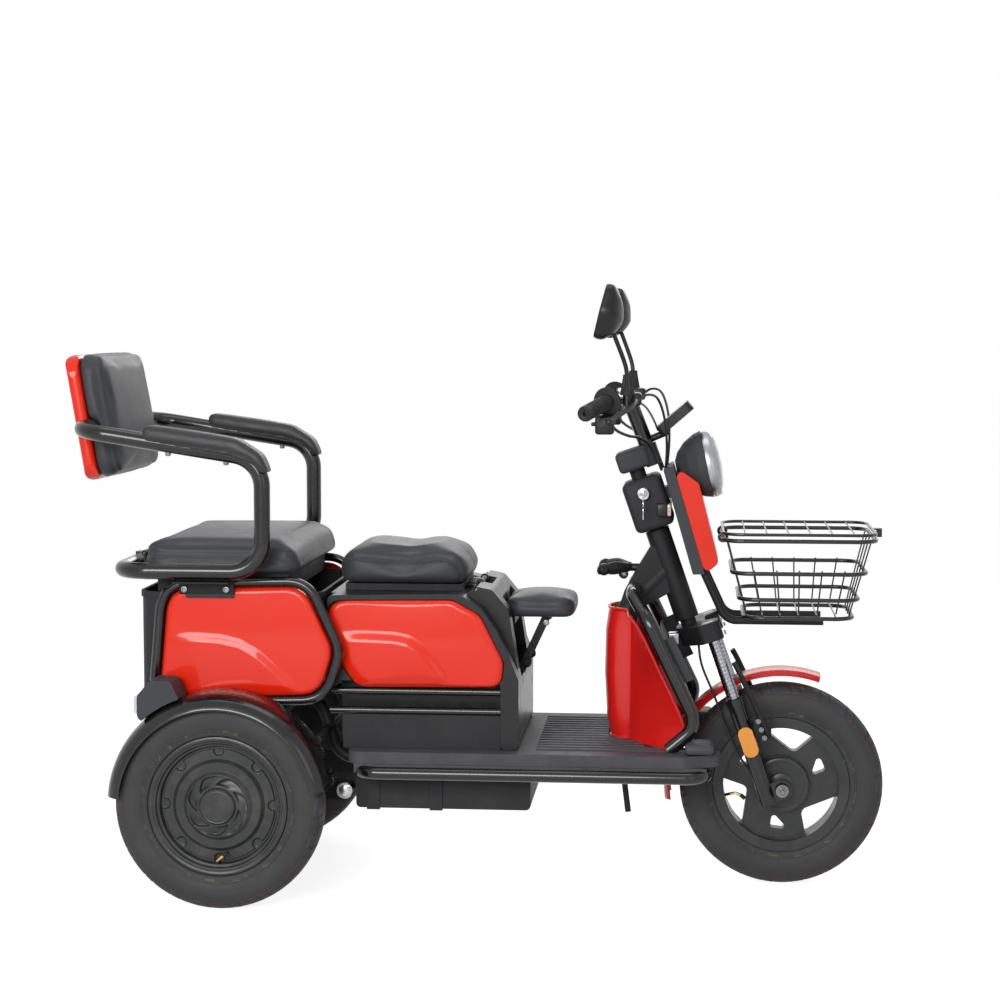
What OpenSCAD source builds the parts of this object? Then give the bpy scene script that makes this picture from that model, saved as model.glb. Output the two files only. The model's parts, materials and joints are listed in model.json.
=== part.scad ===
// Electric three-wheeler with a rider's saddle, a child pad and a rear bench seat.
// Lengths are along X from the rear axle, forward positive, then moved so that the origin lies
// midway between the backrest and the basket's clasp. Y is to the left, Z is up from the ground.

/* [Wheels] */
// Distance between the front and rear axles
wheelbase = 1100; // [1080:1:1120]
// Distance between the middles of the two rear tyres
track = 600; // [598:1:612]
// Outer radius of each tyre
tyre_r = 206.5; // [205:0.5:207]
// Width of each tyre
tyre_w = 82; // [78:1:84]
// Radius at which a tyre sits on its rim
bead_r = 138; // [136:1:140]
// Radius of the front wheel's hub drum
drum_r = 54; // [48:1:58]

/* [Steering] */
// Lean of the steering axis, in degrees
rake = 19; // [18:0.5:20]
// Forward place of the steering axis at the bottom of the head tube
steer_x = 907; // [903:1:911]
// Height of the bottom of the head tube
steer_z = 543; // [541:1:545]
// Length of the head tube
head_tube_h = 192; // [186:1:196]
// Outer radius of the head tube
head_tube_r = 24.5; // [23.5:0.5:26]
// Radius of the steering stem inside the head tube
stem_r = 16; // [15:0.5:17]
// Sideways place of each fork leg
leg_y = 77; // [76:1:80]
// Radius of the bright upper tube of each fork leg
stanchion_r = 12.5; // [11.5:0.5:13.5]
// Radius of the lower slider of each fork leg
slider_r = 16.5; // [16:0.5:17.5]
// Half width between the ends of the grips
grip_end_y = 330; // [324:1:336]
// Radius of the handlebar tube
bar_r = 11; // [10:0.5:11.5]
// Radius of each grip
grip_r = 15; // [14:0.5:16]
// Radius of the hole in each grip's end
grip_hole_r = 4.5; // [3.5:0.5:5.5]

/* [Floor] */
// Height of the floorboard's top
floor_top = 303; // [300:1:306]
// How far the floorboard's edge lies inside the middle of a rear tyre
floor_inset = 65; // [62:1:70]
// Front edge of the floorboard between its two tips
floor_front_x = 848; // [840:1:850]
// Front end of the floorboard's side tips
floor_tip_x = 975; // [965:1:981]
// Radius of the floor's side tubes
side_tube_r = 12.5; // [12:0.5:13.5]
// Radius of the main frame rails
rail_r = 12; // [11:0.5:12.5]

/* [Body] */
// How far the rear side panels' outer face lies inside the middle of a rear tyre
rear_panel_inset = 62; // [60:1:64]
// Step from the rear side panels' outer face in to the front ones'
front_panel_step = 33; // [30:1:36]
// Length of a rear side panel
rear_panel_l = 346; // [342:1:350]
// Height of a rear side panel
rear_panel_h = 226; // [222:1:230]
// Length of a front side panel
front_panel_l = 361; // [357:1:365]
// Height of a front side panel
front_panel_h = 176; // [172:1:180]
// How far the rear storage bin's wall lies inside the rear side panels' outer face
bin_inset = 20; // [18:1:26]
// Wall of the rear storage bin
bin_wall = 4; // [3:0.5:6]

/* [Seats] */
// How far the rear cushion's edge lies inside the middle of the hoop's side
rear_cushion_inset = 45; // [40:1:52]
// Height of the rear cushion's top
rear_cushion_top = 710; // [704:1:716]
// How far the rear seat's tube hoop lies inside the middle of a rear tyre
hoop_inset = 10; // [4:1:14]
// Radius of the rear seat's tube hoop
hoop_r = 16; // [15:0.5:16.5]
// Half width of the backrest
back_half_w = 178; // [172:1:184]
// Height of the backrest along its lean
back_h = 255; // [248:1:260]
// Lean of the backrest, in degrees
back_lean = 9.5; // [8.5:0.5:10.5]
// Half width of the saddle
saddle_half_w = 125; // [118:1:130]
// Half width of the child pad
child_half_w = 90; // [84:1:96]

/* [Basket] */
// Half width of the basket's top rim
basket_half_w = 150; // [144:1:156]
// Length of the basket's top rim
basket_l = 300; // [294:1:306]
// Height of the basket's top rim
basket_top = 716; // [710:1:722]
// Depth from the top rim to the floor of the basket
basket_depth = 158; // [152:1:164]
// Radius of the basket's frame tubes
basket_tube_r = 4.2; // [3.8:0.1:4.6]
// Radius of the basket's thin wires
basket_wire_r = 1.6; // [1.4:0.1:2]

/* [Hidden] */
$fn = 48;

frame_black = [0.06, 0.06, 0.07];
gloss_black = [0.05, 0.05, 0.06];
plastic_black = [0.07, 0.07, 0.075];
steel_grey = [0.1, 0.1, 0.11];
panel_red = [0.86, 0.15, 0.1];
shield_red = [0.78, 0.1, 0.09];
leather_black = [0.14, 0.14, 0.15];
rubber_black = [0.09, 0.09, 0.09];

// Gap between pieces that seat on each other
seat_gap = 0.3;
// How far a cut runs past what it cuts
overrun = 1;
// Thickness of pressed sheet
sheet_t = 3;
// Running clearance at a pin or shaft
pin_gap = 0.25;
// How much fuller a bend is than the straight tube
elbow_swell = 0.15;
// Share of a tube's radius by which a straight runs into its bend
bend_lap_share = 0.02;
// Largest share of a side that one corner may round away
corner_share = 0.45;
// Half angle, in degrees, above which a corner counts as straight
straight_a = 89.9;
// Steps along one rounded corner
corner_steps = 6;

half_track = track / 2;
floor_half_w = half_track - floor_inset;
rear_panel_y = half_track - rear_panel_inset;
front_panel_y = rear_panel_y - front_panel_step;
bin_half_w = rear_panel_y - bin_inset;
hoop_half_w = half_track - hoop_inset;
rear_cushion_half_w = hoop_half_w - rear_cushion_inset;
floor_rear_x = 240;
rail_z = 264;
floor_bottom = rail_z + rail_r + seat_gap;

// Backrest, in its own leaning frame from its lower front edge
back_x = -226;
back_z = 838;
back_shell_t = 27;
back_cushion_t = 45;
back_corner_r = 45;
back_edge_r = 12;
back_depth = back_shell_t + back_cushion_t;
// Farthest point behind the rear axle: the rounded top corner of the backrest shell
rear_reach = back_x - (back_depth - back_edge_r) * cos(back_lean)
    - (back_h - back_edge_r) * sin(back_lean) - back_edge_r;

// Basket places
basket_rear_x = 978;
clasp_l = 16;
basket_front_x = basket_rear_x + basket_l;
front_reach = basket_front_x + basket_tube_r + clasp_l;
mid_x = (front_reach + rear_reach) / 2;

module place() {
    translate([-mid_x, 0, 0]) children();
}

module both_sides() {
    children();
    mirror([0, 1, 0]) children();
}

// Frame along the steering axis: x forward across it, z up along it
module on_steering() {
    translate([steer_x, 0, steer_z]) rotate([0, -rake, 0]) children();
}

// Local x to X, local y to Z, extruded towards the vehicle's right
module side_on(y = 0) {
    translate([0, y, 0]) rotate([90, 0, 0]) children();
}

function unit(v) = v / norm(v);

// Points of the left half, then the same on the right in reverse
function on_right(p) = len(p) == 3 ? [p.x, -p.y, p.z] : [p.x, -p.y];
function both_halves(half) = concat(half, [for (i = [len(half) - 1 : -1 : 0]) on_right(half[i])]);

// A polygon's corners turned into arcs
function half_angle(a, b, c) = acos(max(-1, min(1, unit(a - b) * unit(c - b)))) / 2;
function corner_arc(a, b, c, r) =
    let (
        half = half_angle(a, b, c),
        t = min(r / tan(half), corner_share * min(norm(a - b), norm(c - b))),
        radius = t * tan(half),
        o = b + unit(unit(a - b) + unit(c - b)) * radius / sin(half),
        p = b + unit(a - b) * t - o,
        q = b + unit(c - b) * t - o,
        start = atan2(p.y, p.x),
        turn = atan2(p.x * q.y - p.y * q.x, p * q)
    )
    [for (i = [0 : corner_steps])
        o + radius * [cos(start + turn * i / corner_steps), sin(start + turn * i / corner_steps)]];
function rounded(points, r) =
    let (n = len(points))
    [for (i = [0 : n - 1])
        each corner_arc(points[(i + n - 1) % n], points[i], points[(i + 1) % n], r)];
function rounded_box(lo, hi, r) = rounded([[lo.x, lo.y], [hi.x, lo.y], [hi.x, hi.y], [lo.x, hi.y]], r);

// An outline from shares of a length and a height, and the same drawn in by an edge
function outline(shares, x, z, l, h) = [for (s = shares) [x + s.x * l, z + s.y * h]];
function drawn_in(shares, x, z, l, h, edge) =
    outline(shares, x + edge, z + edge, l - 2 * edge, h - 2 * edge);

module rod(a, b, r) {
    d = b - a;
    translate(a) rotate([0, acos(d.z / norm(d)), atan2(d.y, d.x)]) cylinder(h = norm(d), r = r);
}

function leg_trim(a, b, c, bend) =
    half_angle(a, b, c) > straight_a ? 0 : bend / tan(half_angle(a, b, c));

module elbow(a, b, c, r, bend) {
    half = half_angle(a, b, c);
    if (half < straight_a) {
        n = unit(cross(unit(a - b), unit(c - b)));
        inward = unit(unit(a - b) + unit(c - b));
        o = b + inward * bend / sin(half);
        side = cross(n, -inward);
        turn = 180 - 2 * half;
        multmatrix([
            [-inward.x, side.x, n.x, o.x],
            [-inward.y, side.y, n.y, o.y],
            [-inward.z, side.z, n.z, o.z],
            [0, 0, 0, 1]
        ])
            rotate([0, 0, -turn / 2])
                rotate_extrude(angle = turn)
                    translate([bend, 0]) circle(r = r + elbow_swell);
    }
}

// A tube through corner points, each corner bent at one radius
module bent_tube(points, r, bend, closed = false) {
    n = len(points);
    last = closed ? n - 1 : n - 2;
    for (i = [0 : last]) {
        a = points[i];
        b = points[(i + 1) % n];
        d = unit(b - a);
        bends_before = closed || i > 0;
        bends_after = closed || i < n - 2;
        lap = r * bend_lap_share;
        before = bends_before ? leg_trim(points[(i + n - 1) % n], a, b, bend) - lap : 0;
        after = bends_after ? leg_trim(a, b, points[(i + 2) % n], bend) - lap : 0;
        rod(a + d * before, b - d * after, r);
        if (bends_after) elbow(a, b, points[(i + 2) % n], r, bend);
    }
}

// A pad between two corners: a side outline, its corners rounded in plan and its edges across
module pad_form(side_shares, lo, hi, corner, edge) {
    intersection() {
        side_plate(rounded(outline(side_shares, lo.x, lo.z, hi.x - lo.x, hi.z - lo.z), edge),
            lo.y - overrun, hi.y + overrun);
        translate([0, 0, lo.z - overrun]) linear_extrude(hi.z - lo.z + 2 * overrun)
            polygon(rounded_box(lo, hi, corner));
        translate([lo.x - overrun, 0, 0]) rotate([90, 0, 90]) linear_extrude(hi.x - lo.x + 2 * overrun)
            polygon(rounded_box([lo.y, lo.z], [hi.y, hi.z], edge));
    }
}

// A plate of a rounded side outline from y0 to y1
module side_plate(points, y0, y1) {
    side_on(y1) linear_extrude(y1 - y0) polygon(points);
}

// A box from its low corner to its high corner
module block(lo, hi) {
    translate(lo) cube(hi - lo);
}

// Main frame: two rails under the floor that rise behind it and run back under the bin
frame_y = 110;
frame_front_x = 835;
frame_rise_x = 205;
frame_top_x = 165;
frame_tail_x = -150;
deck_z = 385;
frame_bend = 45;
cross_r = 10;
cross_xs_shares = [0.15, 0.5];
column_foot_x = 770;
foot_bar_w = 40;
// Cross tubes that reach out to the loops round the rear panels
loop_r = 9;
loop_inset = 6;
loop_y = rear_panel_y - loop_inset;
deck_cross_xs_shares = [0.15, 0.85];
// Cross tube that holds the front ends of the rear fenders
fender_in = 45;
fender_inner_y = half_track - fender_in;
fender_r = 222;
fender_t = 4;
fender_tie_r = 8;
fender_tie_a = 33;
fender_tie_x = (fender_r - fender_t / 2) * cos(fender_tie_a);
fender_tie_z = tyre_r + (fender_r - fender_t / 2) * sin(fender_tie_a);
side_tube_out = 10;
side_tube_y = floor_half_w + side_tube_out;
side_tube_z = 260;

// Cross tube under the floor, between two sideways places
module floor_cross(s, half_l, r) {
    x = floor_rear_x + s * (floor_front_x - floor_rear_x);
    rod([x, -half_l, side_tube_z], [x, half_l, side_tube_z], r);
}

module main_frame() {
    color(frame_black) place() {
        both_sides()
            bent_tube([
                [frame_front_x, frame_y, rail_z], [frame_rise_x, frame_y, rail_z],
                [frame_top_x, frame_y, deck_z], [frame_tail_x, frame_y, deck_z]
            ], rail_r, frame_bend);
        for (s = cross_xs_shares) floor_cross(s, side_tube_y - side_tube_r - seat_gap, cross_r);
        for (s = deck_cross_xs_shares) {
            x = frame_tail_x + s * (frame_top_x - frame_tail_x);
            half_l = loop_y - loop_r - seat_gap;
            rod([x, -half_l, deck_z], [x, half_l, deck_z], cross_r);
        }
        rod([fender_tie_x, -fender_inner_y + seat_gap, fender_tie_z],
            [fender_tie_x, fender_inner_y - seat_gap, fender_tie_z], fender_tie_r);
        block([column_foot_x - foot_bar_w / 2, -frame_y, rail_z - rail_r],
            [column_foot_x + foot_bar_w / 2, frame_y, rail_z + rail_r]);
    }
}

// Head column: the tube that carries the head tube and stands on the frame
column_r = 22;
column_bend = 90;
column_knee_z = 545;
column_meet_share = 0.58;
column_points = [
    [column_foot_x, 0, rail_z + rail_r],
    [column_foot_x, 0, column_knee_z],
    [steer_x - column_meet_share * head_tube_h * sin(rake), 0,
        steer_z + column_meet_share * head_tube_h * cos(rake)]
];

module column_tube(extra = 0) {
    bent_tube(column_points, column_r + extra, column_bend);
}

// Gusset between the column and the head tube, as shares of its length and height
gusset_x = 762;
gusset_l = 123;
gusset_z = 500;
gusset_h = 197;
gusset_half_w = 20;
gusset_r = 8;
gusset_shares = [
    [0, 0], [0.31, 0], [0.36, 0.23], [0.52, 0.36], [0.89, 0.49], [1, 0.71], [0.6, 1],
    [0.3, 0.69], [0.13, 0.487], [0.016, 0.264]
];

module gusset(extra = 0) {
    side_plate(rounded(outline(gusset_shares, gusset_x, gusset_z, gusset_l, gusset_h), gusset_r),
        -gusset_half_w - extra, gusset_half_w + extra);
}

module head_column() {
    color(frame_black) place()
        difference() {
            union() {
                column_tube();
                gusset();
                on_steering() cylinder(h = head_tube_h, r = head_tube_r);
            }
            on_steering() translate([0, 0, -overrun])
                cylinder(h = head_tube_h + 2 * overrun, r = stem_r + pin_gap);
        }
}

// Floorboard: a ribbed board with two tips beside the front wheel
tip_inner_share = 0.65;
tip_inner_y = tip_inner_share * floor_half_w;
floor_corner_r = 24;
rib_w = 9;
rib_h = 3;
rib_count = 15;
rib_pitch_share = 0.11;
rib_pitch = rib_pitch_share * floor_half_w;
rib_rear_x = 610;
board_shares = [[0, 1], [0.9, 1], [1, 0.86], [1, 0.68], [0.97, tip_inner_share]];
floor_l = floor_tip_x - floor_rear_x;

module floor_plan() {
    half = [for (s = board_shares) [floor_rear_x + s.x * floor_l, s.y * floor_half_w]];
    polygon(rounded(both_halves(concat(half, [[floor_front_x, tip_inner_y]])), floor_corner_r));
}

module floorboard() {
    color(steel_grey) place()
        difference() {
            union() {
                translate([0, 0, floor_bottom])
                    linear_extrude(floor_top - rib_h - floor_bottom) floor_plan();
                for (i = [0 : rib_count - 1]) {
                    y = (i - (rib_count - 1) / 2) * rib_pitch;
                    front = abs(y) > tip_inner_y ? floor_tip_x : floor_front_x;
                    block([rib_rear_x, y - rib_w / 2, floor_bottom],
                        [front - floor_corner_r, y + rib_w / 2, floor_top]);
                }
            }
            translate([column_foot_x, 0, floor_bottom - overrun])
                cylinder(h = floor_top - floor_bottom + 2 * overrun,
                    r = column_r + elbow_swell + seat_gap);
        }
}

// Side tubes along the floor's edges, with both ends turned in under the board
side_tube_rear_x = 262;
side_tube_front_x = 945;
side_tube_in = 60;
side_tube_bend = 40;

module side_tubes() {
    color(gloss_black) place() both_sides()
        bent_tube([
            [side_tube_rear_x, side_tube_y - side_tube_in, side_tube_z],
            [side_tube_rear_x, side_tube_y, side_tube_z],
            [side_tube_front_x, side_tube_y, side_tube_z],
            [side_tube_front_x, side_tube_y - side_tube_in, side_tube_z]
        ], side_tube_r, side_tube_bend);
}

// Battery box that hangs under the frame, with two straps round it
battery_rear_x = 246;
battery_l = 352;
battery_half_w = 160;
battery_bottom = 172;
battery_r = 10;
battery_top = rail_z - rail_r - seat_gap;
strap_w = 26;
strap_t = 3;
strap_shares = [0.1, 0.46];

module battery_box() {
    color(gloss_black) place() {
        difference() {
            side_plate(rounded_box([battery_rear_x, battery_bottom],
                [battery_rear_x + battery_l, battery_top], battery_r), -battery_half_w, battery_half_w);
            for (s = cross_xs_shares) floor_cross(s, battery_half_w + overrun, cross_r + seat_gap);
        }
        for (s = strap_shares)
            translate([battery_rear_x + s * battery_l, 0, 0]) both_sides()
                block([-strap_w / 2, battery_half_w - strap_t, battery_bottom - strap_t],
                    [strap_w / 2, battery_half_w + strap_t, battery_top]);
    }
}

// Shield arch: one bent tube, up from the floor, over behind the fork and down again
arch_r = 14;
arch_in = 50;
arch_y = floor_half_w - arch_in;
arch_foot_x = 872;
arch_toe_x = 930;
arch_toe_z = 352;
arch_shoulder_x = 830;
arch_shoulder_z = 562;
arch_top_x = 799;
arch_top_z = 604;
arch_top_in = 67;
arch_top_y = arch_y - arch_top_in;
arch_bend = 42;
arch_half = [
    [arch_foot_x, arch_y, floor_top + seat_gap], [arch_toe_x, arch_y, arch_toe_z],
    [arch_shoulder_x, arch_y, arch_shoulder_z], [arch_top_x, arch_top_y, arch_top_z]
];

module shield_arch() {
    color(gloss_black) place()
        difference() {
            bent_tube(both_halves(arch_half), arch_r, arch_bend);
            column_tube(seat_gap + elbow_swell);
            gusset(seat_gap);
            block([arch_foot_x - arch_y, -arch_y - arch_r - overrun, floor_bottom],
                [arch_toe_x, arch_y + arch_r + overrun, floor_top + seat_gap]);
        }
}

// Apron: a sheet in the plane of the arch, between its two legs
apron_low_z = 430;
apron_high_z = 516;
apron_flange = 31;
apron_lean = atan2(arch_toe_x - arch_shoulder_x, arch_shoulder_z - arch_toe_z);

module apron() {
    h = (apron_high_z - apron_low_z) / cos(apron_lean);
    low_x = arch_shoulder_x + (arch_shoulder_z - apron_low_z) * tan(apron_lean);
    half = arch_y - arch_r - elbow_swell - seat_gap;
    color(gloss_black) place()
        translate([low_x, 0, apron_low_z]) rotate([0, -apron_lean, 0])
            union() {
                block([-sheet_t / 2, -half, 0], [sheet_t / 2, half, h]);
                both_sides() block([-sheet_t / 2, half - sheet_t, 0], [apron_flange, half, h]);
            }
}

// Leg shield: a folded wall round the column that sweeps forward to the arch
shield_t = 6;
shield_x = 740;
shield_top_z = 556;
shield_nose_y = 58;
shield_wing_x = 905;
shield_wing_y = arch_y - arch_r - seat_gap;
shield_r = 30;
// Side outline as shares of the wall's depth and height, clear of the arch tube
shield_side_shares = [[0, 0], [0.62, 0], [0.95, 0.18], [0.42, 0.95], [0.3, 1.04], [0, 1]];

module shield_wall_plan(inset) {
    x0 = shield_x + inset;
    polygon(rounded([
        [x0, shield_nose_y - inset], [shield_wing_x + shield_t, shield_wing_y - inset],
        [shield_wing_x + shield_t, -shield_wing_y + inset], [x0, -shield_nose_y + inset]
    ], shield_r));
}

module leg_shield() {
    depth = shield_wing_x - shield_x;
    h = shield_top_z - floor_top;
    color(shield_red) place()
        intersection() {
            translate([0, 0, floor_top + seat_gap]) linear_extrude(h + shield_r)
                difference() {
                    shield_wall_plan(0);
                    shield_wall_plan(shield_t);
                    translate([shield_wing_x - shield_r, -shield_wing_y])
                        square([2 * shield_r + shield_t, 2 * shield_wing_y]);
                }
            side_plate(outline(shield_side_shares, shield_x, floor_top, depth, h),
                -shield_wing_y - overrun, shield_wing_y + overrun);
        }
}

// A formed side panel: a rounded outline with a drawn-in outer face
panel_r = 28;
panel_t = 14;
panel_edge = 8;

module formed_panel(shares, x, z, l, h, outer_y, t) {
    both_sides()
        hull() {
            side_plate(rounded(outline(shares, x, z, l, h), panel_r), outer_y - t, outer_y - panel_edge);
            side_plate(rounded(drawn_in(shares, x, z, l, h, panel_edge), panel_r),
                outer_y - panel_edge, outer_y);
        }
}

front_panel_x = 187;
front_panel_z = 423;
front_panel_t = 22;
front_panel_shares = [
    [0, 0.98], [0.72, 1], [0.87, 0.83], [1, 0.3], [0.985, 0.02], [0.19, 0], [0.085, 0.3]
];

// Seat box: the pillar under the saddle, with a tray inside and a recess for the child pad
floor_deck = floor_top - rib_h;
box_low = floor_deck + seat_gap;
box_rear_x = 216;
box_front_x = 577;
box_l = box_front_x - box_rear_x;
box_top = 606;
box_h = box_top - box_low;
box_wide_y = front_panel_y - front_panel_t;
box_in = 33;
box_half_w = box_wide_y - box_in;
box_r = 14;
box_side_shares = [
    [0, 0], [1, 0], [1, 0.39], [0.931, 0.899], [0.842, 1.026], [0.748, 1.049], [0.704, 1], [0, 1]
];
tray_rear_x = 240;
tray_l = 200;
tray_wall = 46;
tray_half_w = box_half_w - tray_wall;
tray_floor = 430;
recess_x = 536;
recess_gap = 10;
recess_half_w = child_half_w + recess_gap;
recess_floor = 432;
// Ears that hold the saddle's hinge pin, in a slot of the box's front lip
saddle_hinge_x = 487;
saddle_hinge_z = 616;
saddle_hinge_half_w = 40;
saddle_hinge_r = 6;
saddle_pin_r = 3.5;
ear_t = 11;
ear_gap = 0.6;
ear_r = 9;
ear_slot_l = 25;
ear_slot_half_w = 54;
// Mouldings on both sides of the box: a band round the front panel and a leg down to the floor
mould_rear_x = 196;
mould_l = box_front_x - mould_rear_x;
mould_in = 5;
mould_r = 10;
mould_leg_share = 0.906;
mould_band_share = 0.445;
mould_shares = [
    [0, 1], [0.646, 1.016], [0.714, 1], [0.808, 0.922], [0.89, 0.774], [0.953, 0.604], [1, 0.457],
    [1, 0], [mould_leg_share, 0], [mould_leg_share, mould_band_share], [0, mould_band_share]
];
mould_leg_x = mould_rear_x + mould_leg_share * mould_l;
pocket_gap = 1;

module seat_box() {
    color(plastic_black) place()
        difference() {
            union() {
                difference() {
                    side_plate(
                        rounded(outline(box_side_shares, box_rear_x, box_low, box_l, box_h), box_r),
                        -box_half_w, box_half_w);
                    block([saddle_hinge_x - ear_slot_l, -ear_slot_half_w, box_top],
                        [saddle_hinge_x + ear_slot_l, ear_slot_half_w, box_top + box_h]);
                }
                both_sides() saddle_ear();
                block([mould_rear_x, -box_half_w, box_top - sheet_t],
                    [box_rear_x + box_r, box_half_w, box_top]);
            }
            hinge_rod(box_half_w, saddle_pin_r + pin_gap);
            block([tray_rear_x, -tray_half_w, tray_floor],
                [tray_rear_x + tray_l, tray_half_w, box_top + overrun]);
            block([recess_x, -recess_half_w, recess_floor],
                [box_front_x + overrun, recess_half_w, box_top + overrun]);
        }
}

module seat_mouldings() {
    pocket = drawn_in(front_panel_shares, front_panel_x, front_panel_z, front_panel_l, front_panel_h,
        -pocket_gap);
    color(plastic_black) place() both_sides()
        difference() {
            side_plate(rounded(outline(mould_shares, mould_rear_x, box_low, mould_l, box_h), mould_r),
                box_half_w + seat_gap, front_panel_y - mould_in);
            side_plate(rounded(pocket, panel_r), box_wide_y - seat_gap, front_panel_y + overrun);
        }
}

// A rod along the saddle's hinge axis
module hinge_rod(half_l, r) {
    rod([saddle_hinge_x, -half_l, saddle_hinge_z], [saddle_hinge_x, half_l, saddle_hinge_z], r);
}

module saddle_ear() {
    low_y = saddle_hinge_half_w + ear_gap;
    rod([saddle_hinge_x, low_y, saddle_hinge_z], [saddle_hinge_x, low_y + ear_t, saddle_hinge_z], ear_r);
    block([saddle_hinge_x - ear_r, low_y, box_top - ear_r],
        [saddle_hinge_x + ear_r, low_y + ear_t, saddle_hinge_z]);
}

module front_side_panels() {
    color(panel_red) place()
        formed_panel(front_panel_shares, front_panel_x, front_panel_z, front_panel_l, front_panel_h,
            front_panel_y, front_panel_t);
}

// Two tubes with a slot between them, below each front panel
slot_tube_r = 7.5;
slot_tube_gap = 1.5;
slot_tube_y = box_wide_y + slot_tube_r + slot_tube_gap;
slot_top_z = front_panel_z - slot_tube_r - seat_gap;
slot_low_z = 376;
slot_rear_x = 200;

module side_slot_tubes() {
    color(gloss_black) place() both_sides()
        for (z = [slot_top_z, slot_low_z])
            rod([slot_rear_x, slot_tube_y, z], [mould_leg_x - seat_gap, slot_tube_y, z], slot_tube_r);
}

// Skirts: sheets that close the side between the lower slot tube and the floor
skirt_rear_x = 226;

module side_skirts() {
    color(plastic_black) place() both_sides()
        block([skirt_rear_x, slot_tube_y - sheet_t / 2, box_low],
            [mould_leg_x - seat_gap, slot_tube_y + sheet_t / 2, slot_low_z - slot_tube_r - seat_gap]);
}

// Rear bin: an open tub with a rolled rim
bin_rear_x = -180;
bin_front_x = 186;
bin_low = deck_z + rail_r + seat_gap;
bin_top = 612;
bin_corner_r = 40;
bin_rim = 3;
bin_rim_h = 12;

module bin_plan(grow) {
    polygon(rounded_box([bin_rear_x - grow, -bin_half_w - grow], [bin_front_x + grow, bin_half_w + grow],
        bin_corner_r + grow));
}

module rear_bin() {
    color(plastic_black) place()
        difference() {
            union() {
                translate([0, 0, bin_low]) linear_extrude(bin_top - bin_low) bin_plan(0);
                translate([0, 0, bin_top - bin_rim_h]) linear_extrude(bin_rim_h) bin_plan(bin_rim);
            }
            translate([0, 0, bin_low + bin_wall]) linear_extrude(bin_top - bin_low) bin_plan(-bin_wall);
        }
}

rear_panel_x = -133;
rear_panel_z = 400;
rear_panel_shares = [[0.05, 0.98], [0.832, 1], [1, 0.442], [0.92, 0.053], [0.009, 0], [0, 0.177]];

module rear_side_panels() {
    color(panel_red) place()
        formed_panel(rear_panel_shares, rear_panel_x, rear_panel_z, rear_panel_l, rear_panel_h,
            rear_panel_y, panel_t);
}

// Tube loops round the rear panels
loop_gap = 1.7;
loop_off = loop_r + loop_gap;

module rear_panel_loops() {
    points = drawn_in(rear_panel_shares, rear_panel_x, rear_panel_z, rear_panel_l, rear_panel_h,
        -loop_off);
    color(gloss_black) place() both_sides()
        bent_tube([for (p = points) [p.x, loop_y, p.y]], loop_r, panel_r + loop_off / 2, closed = true);
}

// Seat hoop: one closed tube, round the cushion, up to the arms and behind the backrest
hoop_rear_x = -205;
hoop_front_x = 85;
hoop_low_z = 661;
hoop_arm_z = 880;
hoop_back_x = -283;
hoop_back_z = 937;
hoop_bend = 62;
hoop_half = [
    [hoop_rear_x, hoop_half_w, hoop_low_z], [hoop_front_x, hoop_half_w, hoop_low_z],
    [hoop_front_x, hoop_half_w, hoop_arm_z], [hoop_back_x, hoop_half_w, hoop_back_z]
];
hoop_points = both_halves(hoop_half);
// Bracket plates that bolt the hoop to the loops
bracket_x = -78;
bracket_l = 96;
bracket_low_z = 604;
bracket_t = 4;
bracket_y = loop_y + loop_r + elbow_swell + seat_gap;
bracket_bite = 3;
// Hinge of the rear seat, on top of the hoop's rear run
seat_hinge_x = -180;
seat_hinge_z = 684;
seat_hinge_y = 110;
seat_knuckle_r = 5;
seat_knuckle_w = 30;
seat_knuckle_gap = 1;
seat_pin_r = 2.5;

module seat_hoop() {
    color(gloss_black) place() {
        bent_tube(hoop_points, hoop_r, hoop_bend, closed = true);
        both_sides() {
            rod([seat_hinge_x, seat_hinge_y, seat_hinge_z],
                [seat_hinge_x, seat_hinge_y + seat_knuckle_w, seat_hinge_z], seat_knuckle_r);
            rod([seat_hinge_x, seat_hinge_y, seat_hinge_z],
                [seat_hinge_x, seat_hinge_y + 2 * seat_knuckle_w, seat_hinge_z], seat_pin_r);
            block([hoop_rear_x, seat_hinge_y, hoop_low_z],
                [seat_hinge_x, seat_hinge_y + seat_knuckle_w, seat_hinge_z]);
            block([bracket_x, bracket_y, bracket_low_z],
                [bracket_x + bracket_l, bracket_y + bracket_t, hoop_low_z - hoop_r + bracket_bite]);
            block([bracket_x, bracket_y, hoop_low_z - hoop_r - bracket_t + bracket_bite],
                [bracket_x + bracket_l, hoop_half_w, hoop_low_z - hoop_r + bracket_bite]);
        }
    }
}

// Arm pads, moulded over the hoop's arms
pad_half_w = 28;
pad_rear_x = -150;
pad_l = 256;
pad_h = 100;
pad_low_z = 850;
pad_r = 12;
arm_pad_shares = [
    [0, 0.66], [0.01, 0.98], [0.35, 0.86], [0.74, 0.72], [0.93, 0.42], [1, 0.02], [0.93, 0],
    [0.86, 0.2], [0.7, 0.36]
];

module arm_pads() {
    color(plastic_black) place() both_sides()
        difference() {
            side_plate(rounded(outline(arm_pad_shares, pad_rear_x, pad_low_z, pad_l, pad_h), pad_r),
                hoop_half_w - pad_half_w, hoop_half_w + pad_half_w);
            bent_tube([for (i = [1 : 3]) hoop_half[i]], hoop_r + seat_gap, hoop_bend);
        }
}

// Backrest: a moulded shell and a pad, clamped round the hoop's rear run
module on_backrest() {
    translate([back_x, 0, back_z]) rotate([0, -back_lean, 0]) children();
}

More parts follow.
